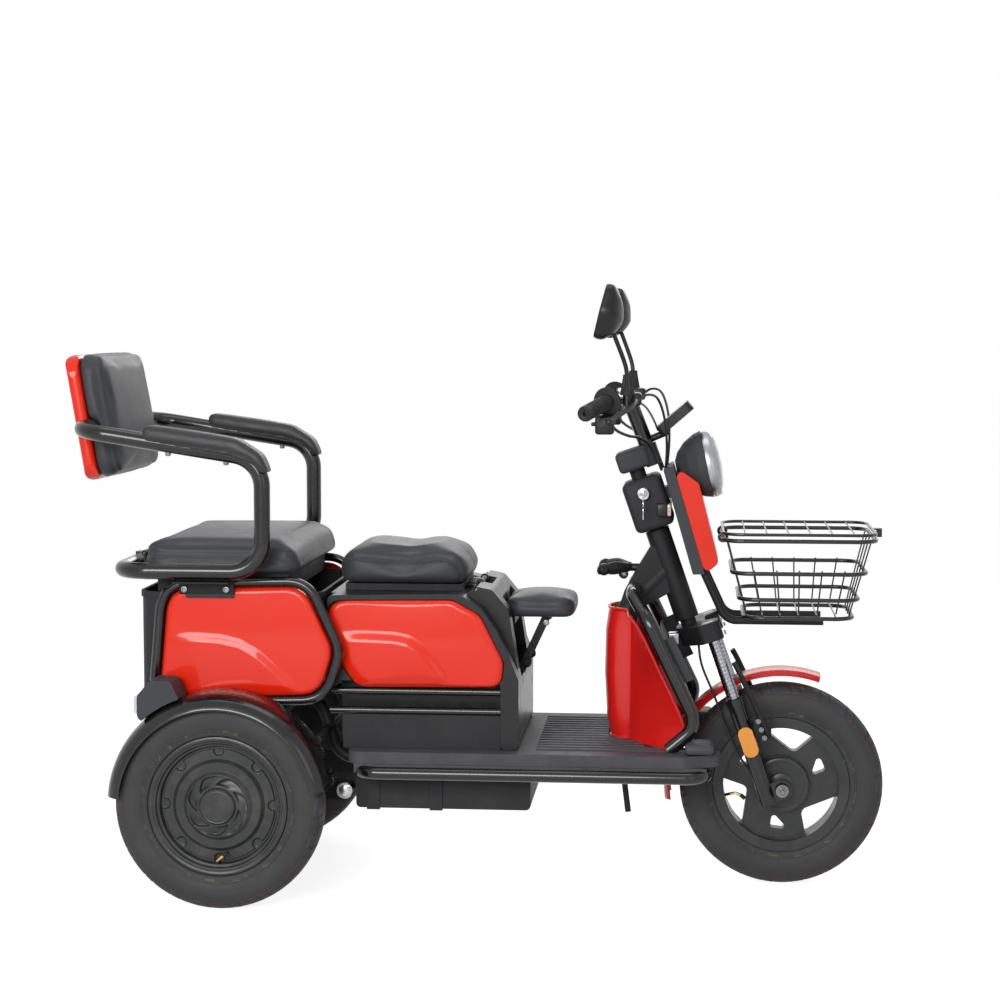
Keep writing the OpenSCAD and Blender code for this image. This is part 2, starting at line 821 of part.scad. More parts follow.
module backrest_slab(x0, x1, edge) {
    on_backrest()
        intersection() {
            side_plate(rounded_box([x0, 0], [x1, back_h], edge), -back_half_w, back_half_w);
            translate([x0 - overrun, 0, 0]) rotate([90, 0, 90])
                linear_extrude(x1 - x0 + 2 * overrun)
                    polygon(rounded_box([-back_half_w, 0], [back_half_w, back_h], back_corner_r));
            translate([0, 0, -overrun]) linear_extrude(back_h + 2 * overrun)
                polygon(rounded_box([x0, -back_half_w], [x1, back_half_w], edge));
        }
}

module hoop_back_run() {
    rod([hoop_back_x, -hoop_half_w, hoop_back_z], [hoop_back_x, hoop_half_w, hoop_back_z],
        hoop_r + seat_gap);
}

module backrest_shell() {
    color(panel_red) place()
        difference() {
            backrest_slab(-back_depth, -back_cushion_t - seat_gap, back_edge_r);
            hoop_back_run();
        }
}

module backrest_cushion() {
    color(leather_black) place()
        difference() {
            backrest_slab(-back_cushion_t, 0, back_edge_r);
            hoop_back_run();
        }
}

// Rear fenders, with an outer lip
fender_start_a = 10;
fender_sweep_a = 165;
fender_lip_r = 192;
// Drop and draw-in of the crown's points, as shares of the lip's depth
fender_crown_shares = [[0, 0.8], [0.06, 0.5], [0.22, 0.2], [0.5, 0.04], [1, 0]];
fender_out = 55;
fender_outer_y = half_track + fender_out;

module fender_section() {
    inner = fender_inner_y - half_track;
    outer = fender_outer_y - half_track;
    drop = fender_r - fender_lip_r;
    top = [for (s = fender_crown_shares) [fender_r - s.x * drop, outer - s.y * drop]];
    low = [for (i = [len(top) - 1 : -1 : 0])
        [max(top[i].x - fender_t, fender_lip_r), top[i].y - fender_t]];
    polygon(concat([[fender_r, inner]], top, low, [[fender_r - fender_t, inner]]));
}

// Placed at the rear axle, the section's axis running outward
module rear_wheel_place() {
    translate([0, half_track, tyre_r]) rotate([90, 0, 0]) mirror([0, 0, 1]) children();
}

module rear_fenders() {
    color(gloss_black) place() both_sides()
        rear_wheel_place() rotate([0, 0, fender_start_a])
            rotate_extrude(angle = fender_sweep_a, $fn = 96) fender_section();
}

// Tail lamps, seated on the fenders
lamp_rear_x = -156;
lamp_l = 84;
lamp_low_z = 372;
lamp_h = 80;
lamp_half_w = 36;
lamp_r = 14;
lamp_lens_t = 8;
lamp_lens_share = 0.5;
lamp_side_shares = [[0, 0], [0, 0.62], [0.3, 1], [0.8, 1], [1, 0.5], [1, 0]];

module tail_lamp_housings() {
    color(gloss_black) place() both_sides()
        difference() {
            side_plate(
                rounded(outline(lamp_side_shares, lamp_rear_x, lamp_low_z, lamp_l, lamp_h), lamp_r),
                half_track - lamp_half_w, half_track + lamp_half_w);
            translate([0, half_track - lamp_half_w - overrun, tyre_r]) rotate([-90, 0, 0])
                cylinder(h = 2 * lamp_half_w + 2 * overrun, r = fender_r + seat_gap, $fn = 96);
        }
}

module tail_lamp_lenses() {
    half_w = lamp_half_w - lamp_r / 2;
    high_z = lamp_low_z + lamp_lens_share * lamp_h + lamp_r / 2;
    color([0.75, 0.1, 0.08]) place() both_sides()
        block([lamp_rear_x - lamp_lens_t, half_track - half_w, lamp_low_z + lamp_r],
            [lamp_rear_x - seat_gap, half_track + half_w, high_z]);
}

// Rear axle: tube, motor with its gear case, and the stub shafts that carry the wheels
axle_tube_r = 24;
axle_tube_in = 72;
axle_tube_y = half_track - axle_tube_in;
shaft_r = 12;
shaft_end = 14;
shaft_end_y = half_track + shaft_end;
motor_r = 74;
motor_w = 150;
gear_r = 60;
gear_w = 80;
motor_y = -30;
swing_x = 222;
swing_z = 205;
swing_y = 130;
swing_w = 12;
swing_h = 44;
swing_washer_r = 16;

module rear_axle() {
    color(steel_grey) place() {
        rod([0, -axle_tube_y, tyre_r], [0, axle_tube_y, tyre_r], axle_tube_r);
        rod([0, -shaft_end_y, tyre_r], [0, shaft_end_y, tyre_r], shaft_r);
        rod([0, motor_y - motor_w / 2, tyre_r], [0, motor_y + motor_w / 2, tyre_r], motor_r);
        rod([0, motor_y + motor_w / 2, tyre_r], [0, motor_y + motor_w / 2 + gear_w, tyre_r], gear_r);
        both_sides() {
            block([0, swing_y, swing_z - swing_h / 2],
                [swing_x, swing_y + swing_w, swing_z + swing_h / 2]);
            rod([swing_x, swing_y - swing_w, swing_z],
                [swing_x, swing_y + 2 * swing_w, swing_z], swing_washer_r);
        }
    }
}

// Rear shocks between the axle tube and the frame's deck
shock_in = 26;
shock_y = axle_tube_y - shock_in;
shock_r = 14;
spring_r = 20;
spring_wire_r = 4;
spring_turns = 7;
shock_x = 0;

module rear_shocks() {
    low = tyre_r + axle_tube_r + seat_gap;
    high = bin_low - seat_gap;
    pitch = (high - low) / (spring_turns + 1);
    color(steel_grey) place() both_sides() {
        rod([shock_x, shock_y, low], [shock_x, shock_y, high], shock_r);
        for (i = [1 : spring_turns])
            translate([shock_x, shock_y, low + i * pitch])
                rotate_extrude()
                    translate([spring_r - spring_wire_r, 0]) circle(r = spring_wire_r, $fn = 16);
        for (z = [low, high - 2 * spring_wire_r])
            translate([shock_x, shock_y, z]) cylinder(h = 2 * spring_wire_r, r = spring_r);
    }
}

// Child pad in front of the seat box, on a folding stay
child_rear_x = 541;
child_l = 141;
child_low_z = 550;
child_t = 40;
child_corner_r = 34;
child_edge = 14;
child_shares = [[0, 0], [1, 0], [1, 0.9], [0.9, 1], [0.08, 1], [0, 0.92]];
stay_t = 5;
stay_w = 18;
stay_y = 44;
stay_top_x = 622;
stay_foot_x = 568;
stay_bolt_share = 0.42;
stay_bolt_r = 8;
hinge_block_l = 22;
hinge_block_h = 16;
hinge_block_half_w = 50;

module child_pad() {
    color(leather_black) place()
        pad_form(child_shares, [child_rear_x, -child_half_w, child_low_z],
            [child_rear_x + child_l, child_half_w, child_low_z + child_t], child_corner_r, child_edge);
}

module child_pad_stay() {
    top_z = child_low_z - seat_gap;
    foot_z = recess_floor + seat_gap;
    bolt_x = stay_foot_x + stay_bolt_share * (stay_top_x - stay_foot_x);
    bolt_z = foot_z + stay_bolt_share * (top_z - foot_z);
    color(plastic_black) place() {
        both_sides()
            side_plate([
                [stay_foot_x - stay_w / 2, foot_z], [stay_foot_x + stay_w / 2, foot_z],
                [stay_top_x + stay_w / 2, top_z], [stay_top_x - stay_w / 2, top_z]
            ], stay_y - stay_t / 2, stay_y + stay_t / 2);
        rod([bolt_x, -stay_y - 2 * stay_t, bolt_z], [bolt_x, stay_y + 2 * stay_t, bolt_z], stay_bolt_r);
        block([recess_x + seat_gap, -hinge_block_half_w, top_z - hinge_block_h],
            [recess_x + hinge_block_l, hinge_block_half_w, top_z]);
    }
}

// Child's hand hold on the column
handle_r = 10;
handle_bend = 16;
handle_stem_r = 8;
handle_lobe_share = 1.25;
handle_z = 646;
handle_fork_x = 787;
handle_end_x = 738;
handle_end_y = 48;

module child_handle() {
    color(plastic_black) place()
        difference() {
            union() {
                bent_tube([
                    [handle_end_x, -handle_end_y, handle_z], [handle_fork_x, 0, handle_z],
                    [handle_end_x, handle_end_y, handle_z]
                ], handle_r, handle_bend);
                both_sides()
                    translate([handle_end_x, handle_end_y, handle_z])
                        sphere(r = handle_r * handle_lobe_share);
                rod([handle_fork_x - handle_bend, 0, handle_z], [column_points[2].x, 0, handle_z],
                    handle_stem_r);
            }
            column_tube(seat_gap + elbow_swell);
            translate([-seat_gap, 0, 0]) gusset(seat_gap);
            on_steering() cylinder(h = head_tube_h, r = head_tube_r + seat_gap);
        }
}

// Brake arm under the floor
brake_arm_y = -60;
brake_arm_top_x = 776;
brake_arm_low_x = 790;
brake_arm_low_z = 152;
brake_arm_r = 6;

module brake_arm() {
    color(steel_grey) place()
        difference() {
            rod([brake_arm_top_x, brake_arm_y, rail_z],
                [brake_arm_low_x, brake_arm_y, brake_arm_low_z], brake_arm_r);
            block([column_foot_x - foot_bar_w, -frame_y, rail_z - rail_r - seat_gap],
                [column_foot_x + foot_bar_w, frame_y, floor_top]);
        }
}

// Rear seat: a tray lid over the bin and the bench cushion on it
rear_cushion_x = -172;
rear_cushion_l = 324;
rear_cushion_low = 652;
rear_cushion_corner_r = 42;
rear_cushion_edge = 18;
rear_cushion_shares = [[0, 0], [0.985, 0], [1, 0.45], [0.97, 0.85], [0.88, 1], [0.04, 1], [0, 0.9]];
seat_base_inset = 30;
seat_base_gap = 6;
seat_base_half_w = bin_half_w - seat_base_gap;
hinge_leaf_t = 3;
hinge_leaf_drop = 12;

module rear_seat_base() {
    color(plastic_black) place()
        difference() {
            union() {
                block([rear_cushion_x + seat_base_inset, -seat_base_half_w, bin_top + seat_gap],
                    [rear_cushion_x + rear_cushion_l - seat_base_inset, seat_base_half_w,
                        rear_cushion_low - seat_gap]);
                both_sides() seat_leaf();
            }
            both_sides()
                rod([seat_hinge_x, seat_hinge_y, seat_hinge_z],
                    [seat_hinge_x, seat_hinge_y + 3 * seat_knuckle_w, seat_hinge_z],
                    seat_pin_r + pin_gap);
        }
}

// Hinge leaf that rises behind the cushion to the hinge
module seat_leaf() {
    low_y = seat_hinge_y + seat_knuckle_w + seat_knuckle_gap;
    high_y = low_y + seat_knuckle_w;
    rod([seat_hinge_x, low_y, seat_hinge_z], [seat_hinge_x, high_y, seat_hinge_z], seat_knuckle_r);
    block([seat_hinge_x, low_y, rear_cushion_low - hinge_leaf_drop],
        [seat_hinge_x + hinge_leaf_t, high_y, seat_hinge_z]);
    block([seat_hinge_x, low_y, rear_cushion_low - hinge_leaf_drop],
        [rear_cushion_x + 2 * seat_base_inset, high_y,
            rear_cushion_low - hinge_leaf_drop + hinge_leaf_t]);
}

module rear_cushion() {
    color(leather_black) place()
        pad_form(rear_cushion_shares, [rear_cushion_x, -rear_cushion_half_w, rear_cushion_low],
            [rear_cushion_x + rear_cushion_l, rear_cushion_half_w, rear_cushion_top],
            rear_cushion_corner_r, rear_cushion_edge);
}

// Saddle: a base plate hinged at its front and a cushion with two humps
saddle_rear_x = 203;
saddle_l = 270;
saddle_low = 620;
saddle_base_inset = 16;
saddle_corner_r = 44;
saddle_edge = 20;
saddle_h = 70;
saddle_side_shares = [
    [0.01, 0], [0, 0.7], [0.1, 0.98], [0.24, 1], [0.4, 0.93], [0.545, 0.8], [0.66, 0.94], [0.78, 1],
    [0.92, 0.9], [1, 0.5], [0.98, 0]
];

module saddle_base() {
    color(plastic_black) place() {
        block([saddle_rear_x + saddle_base_inset, -saddle_half_w + saddle_base_inset, box_top + seat_gap],
            [saddle_rear_x + saddle_l - saddle_base_inset, saddle_half_w - saddle_base_inset,
                saddle_low - seat_gap]);
        block([saddle_rear_x + saddle_l - 2 * saddle_base_inset, -saddle_hinge_half_w,
                saddle_hinge_z - sheet_t],
            [saddle_hinge_x, saddle_hinge_half_w, saddle_hinge_z]);
        hinge_rod(saddle_hinge_half_w, saddle_hinge_r);
        hinge_rod(saddle_hinge_half_w + ear_t, saddle_pin_r);
    }
}

module saddle_cushion() {
    color(leather_black) place()
        pad_form(saddle_side_shares, [saddle_rear_x, -saddle_half_w, saddle_low],
            [saddle_rear_x + saddle_l, saddle_half_w, saddle_low + saddle_h],
            saddle_corner_r, saddle_edge);
}

// Steering stem with the fork crown at its foot and the bar clamp at its head
leg_x = 40;
crown_low = -50;
crown_h = 38;
crown_r = 14;
crown_shares = [[-0.34, 0.31], [0.23, 1.3], [0.8, 1.3], [0.8, 0.7], [0.44, 0.39]];
stem_top = 342;
stem_head_low = 322;
stem_head_h = 40;
stem_head_half_w = 35;
stem_head_rear = 24;
stem_head_front = 54;
riser_r = 15.5;
riser_foot = [838, 0, 856];
bar_x = 786;
bar_z = 990;
riser_top = [bar_x, 0, bar_z];

module crown_plan() {
    polygon(rounded(both_halves([for (s = crown_shares) s * leg_y]), crown_r));
}

module riser(extra = 0) {
    rod(riser_foot, riser_top, riser_r + extra);
}

module steering_stem() {
    color(gloss_black) place()
        difference() {
            on_steering() union() {
                translate([0, 0, crown_low]) cylinder(h = stem_top - crown_low, r = stem_r);
                translate([0, 0, crown_low]) linear_extrude(crown_h) crown_plan();
                translate([0, 0, stem_head_low]) linear_extrude(stem_head_h)
                    polygon(rounded_box([-stem_head_rear, -stem_head_half_w],
                        [stem_head_front, stem_head_half_w], crown_r));
            }
            on_steering() both_sides()
                translate([leg_x, leg_y, crown_low - overrun])
                    cylinder(h = crown_h + 2 * overrun, r = stanchion_r + seat_gap);
            riser(seat_gap);
        }
}

// Fork legs: bright upper tubes, sliders with a dust collar, and the axle lugs
slider_top = -176;
slider_low = -402;
collar_rise = 2;
collar_r = slider_r + collar_rise;
collar_h = 14;
axle_x = (wheelbase - steer_x) * cos(rake) + (tyre_r - steer_z) * sin(rake);
axle_w = -(wheelbase - steer_x) * sin(rake) + (tyre_r - steer_z) * cos(rake);
lug_r = 20;
lug_t = 16;
axle_r = 7;
axle_end = 26;
axle_half = leg_y + axle_end;
nut_r = 11;
nut_h = 8;

module fork_legs() {
    color(frame_black) place() on_steering() both_sides()
        difference() {
            union() {
                translate([leg_x, leg_y, slider_low]) {
                    cylinder(h = slider_top - slider_low, r = slider_r);
                    cylinder(h = crown_low + crown_h - slider_low, r = stanchion_r);
                }
                translate([leg_x, leg_y, slider_top - collar_h]) cylinder(h = collar_h, r = collar_r);
                rod([axle_x, leg_y - lug_t / 2, axle_w], [axle_x, leg_y + lug_t / 2, axle_w], lug_r);
                block([leg_x, leg_y - lug_t / 2, axle_w - lug_r],
                    [axle_x, leg_y + lug_t / 2, axle_w + lug_r]);
            }
            rod([axle_x, 0, axle_w], [axle_x, 2 * leg_y, axle_w], axle_r + pin_gap);
        }
}

module front_axle() {
    color([0.6, 0.6, 0.62]) place() on_steering() {
        rod([axle_x, -axle_half, axle_w], [axle_x, axle_half, axle_w], axle_r);
        both_sides() {
            rod([axle_x, leg_y + lug_t / 2 + seat_gap, axle_w],
                [axle_x, leg_y + lug_t / 2 + nut_h, axle_w], nut_r);
        }
    }
}

// Amber reflectors on the outer sides of the sliders
reflector_w = 30;
reflector_l = 62;
reflector_t = 7;
reflector_at = -265;

module fork_reflectors() {
    color([0.95, 0.6, 0.08]) place() on_steering() both_sides()
        translate([leg_x, leg_y + slider_r + seat_gap, reflector_at]) rotate([-90, 0, 0])
            linear_extrude(reflector_t)
                polygon(rounded_box([-reflector_w / 2, -reflector_l / 2],
                    [reflector_w / 2, reflector_l / 2], reflector_w / 2));
}

// Front fender: a crowned strip over the wheel, with a bracket to each slider
guard_r = 239;
guard_half_w = 47;
guard_t = 3;
guard_start_a = 71;
guard_sweep_a = 117;
guard_drop = 13;
// Crown of the strip: shares of its half width and of its drop
guard_shares = [[1, 1], [0.78, 0.28], [0.45, 0.04], [0.12, 0]];
guard_bracket_x = 988;
guard_bracket_l = 24;
guard_bracket_low = 372;
guard_bracket_high = 412;
guard_bracket_y = 44;

module guard_section() {
    top = both_halves([for (s = guard_shares) [guard_r - s.y * guard_drop, s.x * guard_half_w]]);
    polygon(concat(top, [for (i = [len(top) - 1 : -1 : 0]) top[i] - [guard_t, 0]]));
}

module front_fender() {
    color(shield_red) place() {
        translate([wheelbase, 0, tyre_r]) rotate([90, 0, 0]) rotate([0, 0, guard_start_a])
            rotate_extrude(angle = guard_sweep_a, $fn = 96) guard_section();
        both_sides()
            block([guard_bracket_x, guard_bracket_y, guard_bracket_low],
                [guard_bracket_x + guard_bracket_l, leg_y - collar_r - seat_gap, guard_bracket_high]);
    }
}

// Handlebar: a swept tube on a riser
bar_mid_y = 85;
bar_knee = [760, 190, 997];
grip_end = [712, grip_end_y, 972];
grip_cap = 8;
grip_l = 118;
grip_flange_r = 28;
grip_flange_t = 6;
bar_bend = 50;
bar_out = unit(grip_end - bar_knee);

module handlebar() {
    half = [grip_end - bar_out * (grip_cap + seat_gap), bar_knee, [bar_x, bar_mid_y, bar_z]];
    color(gloss_black) place() {
        bent_tube(both_halves(half), bar_r, bar_bend);
        riser();
    }
}

// A rod along the grip's axis, between two distances in from its end
module along_bar(from, to, r) {
    rod(grip_end - from * bar_out, grip_end - to * bar_out, r);
}

module grips() {
    color(plastic_black) place() both_sides()
        difference() {
            union() {
                along_bar(0, grip_l, grip_r);
                along_bar(grip_l, grip_l + grip_flange_t, grip_flange_r);
            }
            along_bar(grip_cap, grip_l + grip_flange_t + overrun, bar_r + seat_gap);
            along_bar(-overrun, grip_cap + overrun, grip_hole_r);
        }
}

// Hand controls: a clamp with a brake lever and a switch pod on each side
clamp_from = 127;
clamp_l = 15;
clamp_r = 16;
lever_r = 5;
lever_bend = 14;
lever_ball_share = 1.6;
lever_root = [806, 200, 991];
lever_knee = [798, 240, 983];
lever_tip = [758, 322, 957];
pod_r = 9;
pod_drop = 46;
// Downward, square to the bar
pod_down = unit(cross(cross(bar_out, [0, 0, -1]), bar_out));
boss_r = 9;
boss_x = 789;
boss_y = 203;
boss_low = 984;
boss_top = 1006;

module hand_controls() {
    clamp_at = grip_end - bar_out * (clamp_from + clamp_l / 2);
    color(plastic_black) place() both_sides()
        difference() {
            union() {
                along_bar(clamp_from, clamp_from + clamp_l, clamp_r);
                bent_tube([clamp_at, lever_root, lever_knee, lever_tip], lever_r, lever_bend);
                translate(lever_tip) sphere(r = lever_r * lever_ball_share);
                rod(clamp_at, clamp_at + pod_drop * pod_down, pod_r);
                translate([boss_x, boss_y, boss_low]) cylinder(h = boss_top - boss_low, r = boss_r);
            }
            along_bar(0, clamp_from + 3 * clamp_l, bar_r + seat_gap);
        }
}

// Mirrors: boot, stem and a wedge-shaped head whose flat glass faces back
mirror_boot_h = 30;
mirror_stem_r = 4;
mirror_boot_share = 1.25;
// Lower rear edge of the head
mirror_low = [726, 236, 1115];
mirror_h = 108;
mirror_depth = 46;
mirror_half_w = 60;
mirror_tilt = 14.5;
mirror_edge_r = 9;
mirror_corner_r = 24;
mirror_side_shares = [[0, 0], [0.5, 0], [0.92, 0.17], [1, 0.42], [0.66, 0.76], [0.2, 1], [0, 1]];
mirror_face_shares = [[0.22, 0], [0.78, 0], [1, 0.5], [0.86, 1], [0.2, 1], [0, 0.56]];
mirror_stem_share = [0.5, 0.3];

module mirror_head() {
    side = outline(mirror_side_shares, 0, -overrun, mirror_depth, mirror_h + 2 * overrun);
    face = outline(mirror_face_shares, -mirror_half_w, 0, 2 * mirror_half_w, mirror_h);
    translate(mirror_low) rotate([0, mirror_tilt, 0])
        intersection() {
            side_plate(rounded(side, mirror_edge_r), -mirror_half_w - overrun, mirror_half_w + overrun);
            translate([-overrun, 0, 0]) rotate([90, 0, 90])
                linear_extrude(mirror_depth + 2 * overrun) polygon(rounded(face, mirror_corner_r));
        }
}

module mirrors() {
    foot = [boss_x, boss_y, boss_top + seat_gap];
    socket = mirror_low + [mirror_stem_share.x * mirror_depth, 0, mirror_stem_share.y * mirror_h];
    color(gloss_black) place() both_sides() {
        translate(foot) cylinder(h = mirror_boot_h, r1 = boss_r, r2 = mirror_stem_r * mirror_boot_share);
        rod(foot + [0, 0, mirror_boot_h - overrun], socket, mirror_stem_r);
        mirror_head();
    }
}

// Display on a stalk ahead of the riser
display_low = [848, 0, 925];
display_l = 84;
display_t = 20;
display_half_w = 44;
display_tilt = 41;
display_r = 10;
stalk_r = 7;
stalk_share = 0.36;

module display() {
    color(gloss_black) place()
        difference() {
            union() {
                translate(display_low) rotate([0, -display_tilt, 0])
                    translate([0, 0, -display_t / 2]) linear_extrude(display_t)
                        polygon(rounded_box([0, -display_half_w], [display_l, display_half_w], display_r));
                rod(riser_foot + stalk_share * (riser_top - riser_foot), display_low + [display_t, 0, 0],
                    stalk_r);
            }
            riser(seat_gap);
        }
}

// Ignition box round the stem, with its key switch
ignition_rear = 38;
ignition_front = 42;
ignition_half_w = 58;
ignition_gap = 6;
ignition_low = head_tube_h + ignition_gap;
ignition_h = 104;
ignition_r = 12;
key_r = 12;
key_h = 7;
key_up_share = 0.72;

module ignition_box() {
    color(plastic_black) place() on_steering()
        difference() {
            union() {
                translate([0, 0, ignition_low]) linear_extrude(ignition_h)
                    polygon(rounded_box([-ignition_rear, -ignition_half_w],
                        [ignition_front, ignition_half_w], ignition_r));
                rod([0, 0, ignition_low + key_up_share * ignition_h],
                    [0, -ignition_half_w - key_h, ignition_low + key_up_share * ignition_h], key_r);
            }
            translate([0, 0, ignition_low - overrun])
                cylinder(h = ignition_h + 2 * overrun, r = stem_r + seat_gap);
        }
}

// Headlamp: a revolved shell with a bezel, leaning up a little
lamp_tail = [884, 0, 846];
headlamp_tilt = 12;
headlamp_r = 69;
shell_l = 62;
headlamp_l = 92;
shell_shares = [[0, 0.28], [0.12, 0.5], [0.4, 0.76], [0.75, 0.94], [1, 1]];
lens_shares = [[0, 1], [0.3, 1], [0.5, 0.92], [0.75, 0.7], [0.92, 0.4], [1, 0]];

module on_headlamp() {
    translate(lamp_tail) rotate([0, 90 - headlamp_tilt, 0]) children();
}

module headlamp_body(extra = 0) {
    on_headlamp() rotate_extrude(convexity = 2)
        polygon(concat([[0, -extra]],
            [for (s = shell_shares) [s.y * headlamp_r + extra, s.x * shell_l - (s.x == 0 ? extra : 0)]],
            [[0, shell_l]]));
}

module headlamp_shell() {
    color(plastic_black) place() headlamp_body();
}

module headlamp_lens() {
    lens_l = headlamp_l - shell_l;
    color([0.75, 0.76, 0.78]) place() on_headlamp()
        translate([0, 0, shell_l + seat_gap]) rotate_extrude()
            polygon(concat([[0, 0]], [for (s = lens_shares) [s.y * headlamp_r, s.x * lens_l]]));
}

// Front panel: a black back and a red front, along the steering axis
panel_half_w = 72;
panel_low = 81;
panel_h = 229;
panel_d = 70;
panel_x = 42;
panel_back_shares = [[0, 0.03], [0.33, 0], [0.47, 1], [0.16, 0.985]];
panel_front_shares = [[0.33, 0], [0.81, 0.055], [1, 0.773], [0.47, 1]];
panel_front_r = 14;
panel_lug_share = 0.72;
panel_lug_half_w = 30;
panel_lug_h = 24;

module panel_solid(shares, r) {
    on_steering()
        side_plate(rounded(outline(shares, panel_x, panel_low, panel_d, panel_h), r),
            -panel_half_w, panel_half_w);
}

module panel_back() {
    lug_x = panel_x + panel_back_shares[2].x * panel_d - sheet_t;
    lug_z = panel_low + panel_lug_share * panel_h;
    color(gloss_black) place()
        difference() {
            union() {
                panel_solid(panel_back_shares, sheet_t);
                on_steering()
                    block([ignition_front + seat_gap, -panel_lug_half_w, lug_z],
                        [lug_x, panel_lug_half_w, lug_z + panel_lug_h]);
            }
            headlamp_body(seat_gap);
        }
}

module front_panel() {
    color(panel_red) place()
        difference() {
            translate([seat_gap, 0, 0]) panel_solid(panel_front_shares, panel_front_r);
            headlamp_body(seat_gap);
        }
}

// Basket: three hoops and a floor hoop
hoop_levels_shares = [0, 0.42, 0.76, 1];
hoop_taper_share = 0.28;
hoop_slope_share = hoop_taper_share * basket_half_w / basket_depth;
basket_corner_r = 40;
long_wires = 5;
end_wires = 4;

// Corners of the basket's outline at one depth under its rim
function hoop_at(depth) =
    let (
        inset = hoop_slope_share * depth,
        rear = basket_rear_x + inset,
        front = basket_front_x - inset,
        half_w = basket_half_w - inset,
        z = basket_top - depth
    )
    [[rear, -half_w, z], [front, -half_w, z], [front, half_w, z], [rear, half_w, z]];

module basket() {
    color(gloss_black) place()
        for (s = hoop_levels_shares)
            bent_tube(hoop_at(s * basket_depth), basket_tube_r, basket_corner_r, closed = true, $fn = 24);
}

// Wires laid inside the hoops: down both sides and ends, and across the floor
wire_off = basket_tube_r + basket_wire_r + seat_gap;
wire_inset = wire_off * norm([1, hoop_slope_share]);
floor_wire_z = basket_top - basket_depth + wire_off;
side_wire_depth = hoop_levels_shares[1] * basket_depth - wire_off;
wire_foot_depth = basket_depth - wire_off - 2 * basket_wire_r - seat_gap;

// A point along one side of the outline, moved inward to the wire's own plane
function wire_point(depth, side, s) =
    let (
        points = hoop_at(depth),
        from = points[side],
        along = points[(side + 1) % 4] - from,
        inward = unit([-along.y, along.x, 0])
    )
    from + s * along + wire_inset * inward;

// Upright wires of one side, evenly spread, between two depths under the rim
module upright_wires(side, count, top_depth, foot_depth) {
    for (k = [1 : count])
        rod(wire_point(top_depth, side, k / (count + 1)), wire_point(foot_depth, side, k / (count + 1)),
            basket_wire_r, $fn = 16);
}

module basket_wires() {
    low = hoop_at(basket_depth);
    color(gloss_black) place() {
        for (side = [0, 2]) upright_wires(side, long_wires, side_wire_depth, wire_foot_depth);
        for (side = [1, 3]) upright_wires(side, end_wires, 0, basket_depth);
        for (k = [1 : long_wires]) {
            x = low[0].x + k / (long_wires + 1) * (low[1].x - low[0].x);
            rod([x, low[0].y, floor_wire_z], [x, low[3].y, floor_wire_z], basket_wire_r, $fn = 16);
        }
    }
}

// Basket lid: a wire frame hinged on the rear rim, with a clasp at the front
lid_gap = 5.3;
lid_wires = 6;
lid_tube_r = 3.2;
lid_z = basket_top + basket_tube_r + lid_gap + lid_tube_r;
lid_rear_x = basket_rear_x;
lid_loop_y = 70;
lid_loop_gap = 0.6;
lid_loop_wire_r = 3;

module basket_lid() {
    points = [
        [lid_rear_x, -basket_half_w, lid_z], [basket_front_x, -basket_half_w, lid_z],
        [basket_front_x, basket_half_w, lid_z], [lid_rear_x, basket_half_w, lid_z]
    ];
    color(gloss_black) place() {
        bent_tube(points, lid_tube_r, basket_corner_r, closed = true, $fn = 24);
        for (y = [-lid_loop_y, lid_loop_y])
            translate([basket_rear_x, y, basket_top]) rotate([90, 0, 0]) rotate_extrude()
                translate([basket_tube_r + lid_loop_gap + lid_loop_wire_r, 0])
                    circle(r = lid_loop_wire_r, $fn = 24);
        for (k = [1 : lid_wires]) {
            x = lid_rear_x + k / (lid_wires + 1) * basket_l;
            rod([x, -basket_half_w, lid_z], [x, basket_half_w, lid_z], basket_wire_r, $fn = 16);
        }
        block([basket_front_x, -clasp_l / 2, lid_z - lid_tube_r / 2],
            [front_reach, clasp_l / 2, lid_z + lid_tube_r / 2]);
        block([basket_front_x + basket_tube_r + lid_gap, -clasp_l / 2, lid_z - clasp_l],
            [front_reach, clasp_l / 2, lid_z]);
    }
}

// Basket bracket: two bent tubes from the panel back, under the basket
carrier_r = 8;
carrier_y = 50;
carrier_bend = 34;
carrier_top_x = 933;
carrier_top_z = 658;
carrier_knee_z = basket_top - basket_depth - basket_tube_r - carrier_r - seat_gap;
carrier_knee_x = 985;
carrier_front_x = 1180;

module basket_bracket() {
    color(gloss_black) place()
        difference() {
            both_sides()
                bent_tube([
                    [carrier_top_x, carrier_y, carrier_top_z],
                    [carrier_knee_x, carrier_y, carrier_knee_z],
                    [carrier_front_x, carrier_y, carrier_knee_z]
                ], carrier_r, carrier_bend);
            translate([seat_gap, 0, -seat_gap]) panel_solid(panel_front_shares, panel_front_r);
            panel_solid(panel_back_shares, sheet_t);
        }
}

// Front wheel: a cast rim whose web has three wide openings and three small ones
rim_half_w = 32;
rim_inner_r = 117;
hub_half_w = 34;
web_half_w = 14;
web_bite = 4;
web_count = 3;
// Corners of the openings: radius as a share of the rim's inside, and angle in degrees
window_shares = [[1.15, 113], [1.25, 84], [1.15, 54], [0.58, 67]];
window_r = 14;
slit_shares = [[0.53, 14], [0.84, 40], [0.81, 17]];
slit_r = 6;

function polar_points(shares) = [for (s = shares) s.x * rim_inner_r * [cos(s.y), sin(s.y)]];

module wheel_place(x, y) {
    translate([x, y, tyre_r]) rotate([90, 0, 0]) children();
}

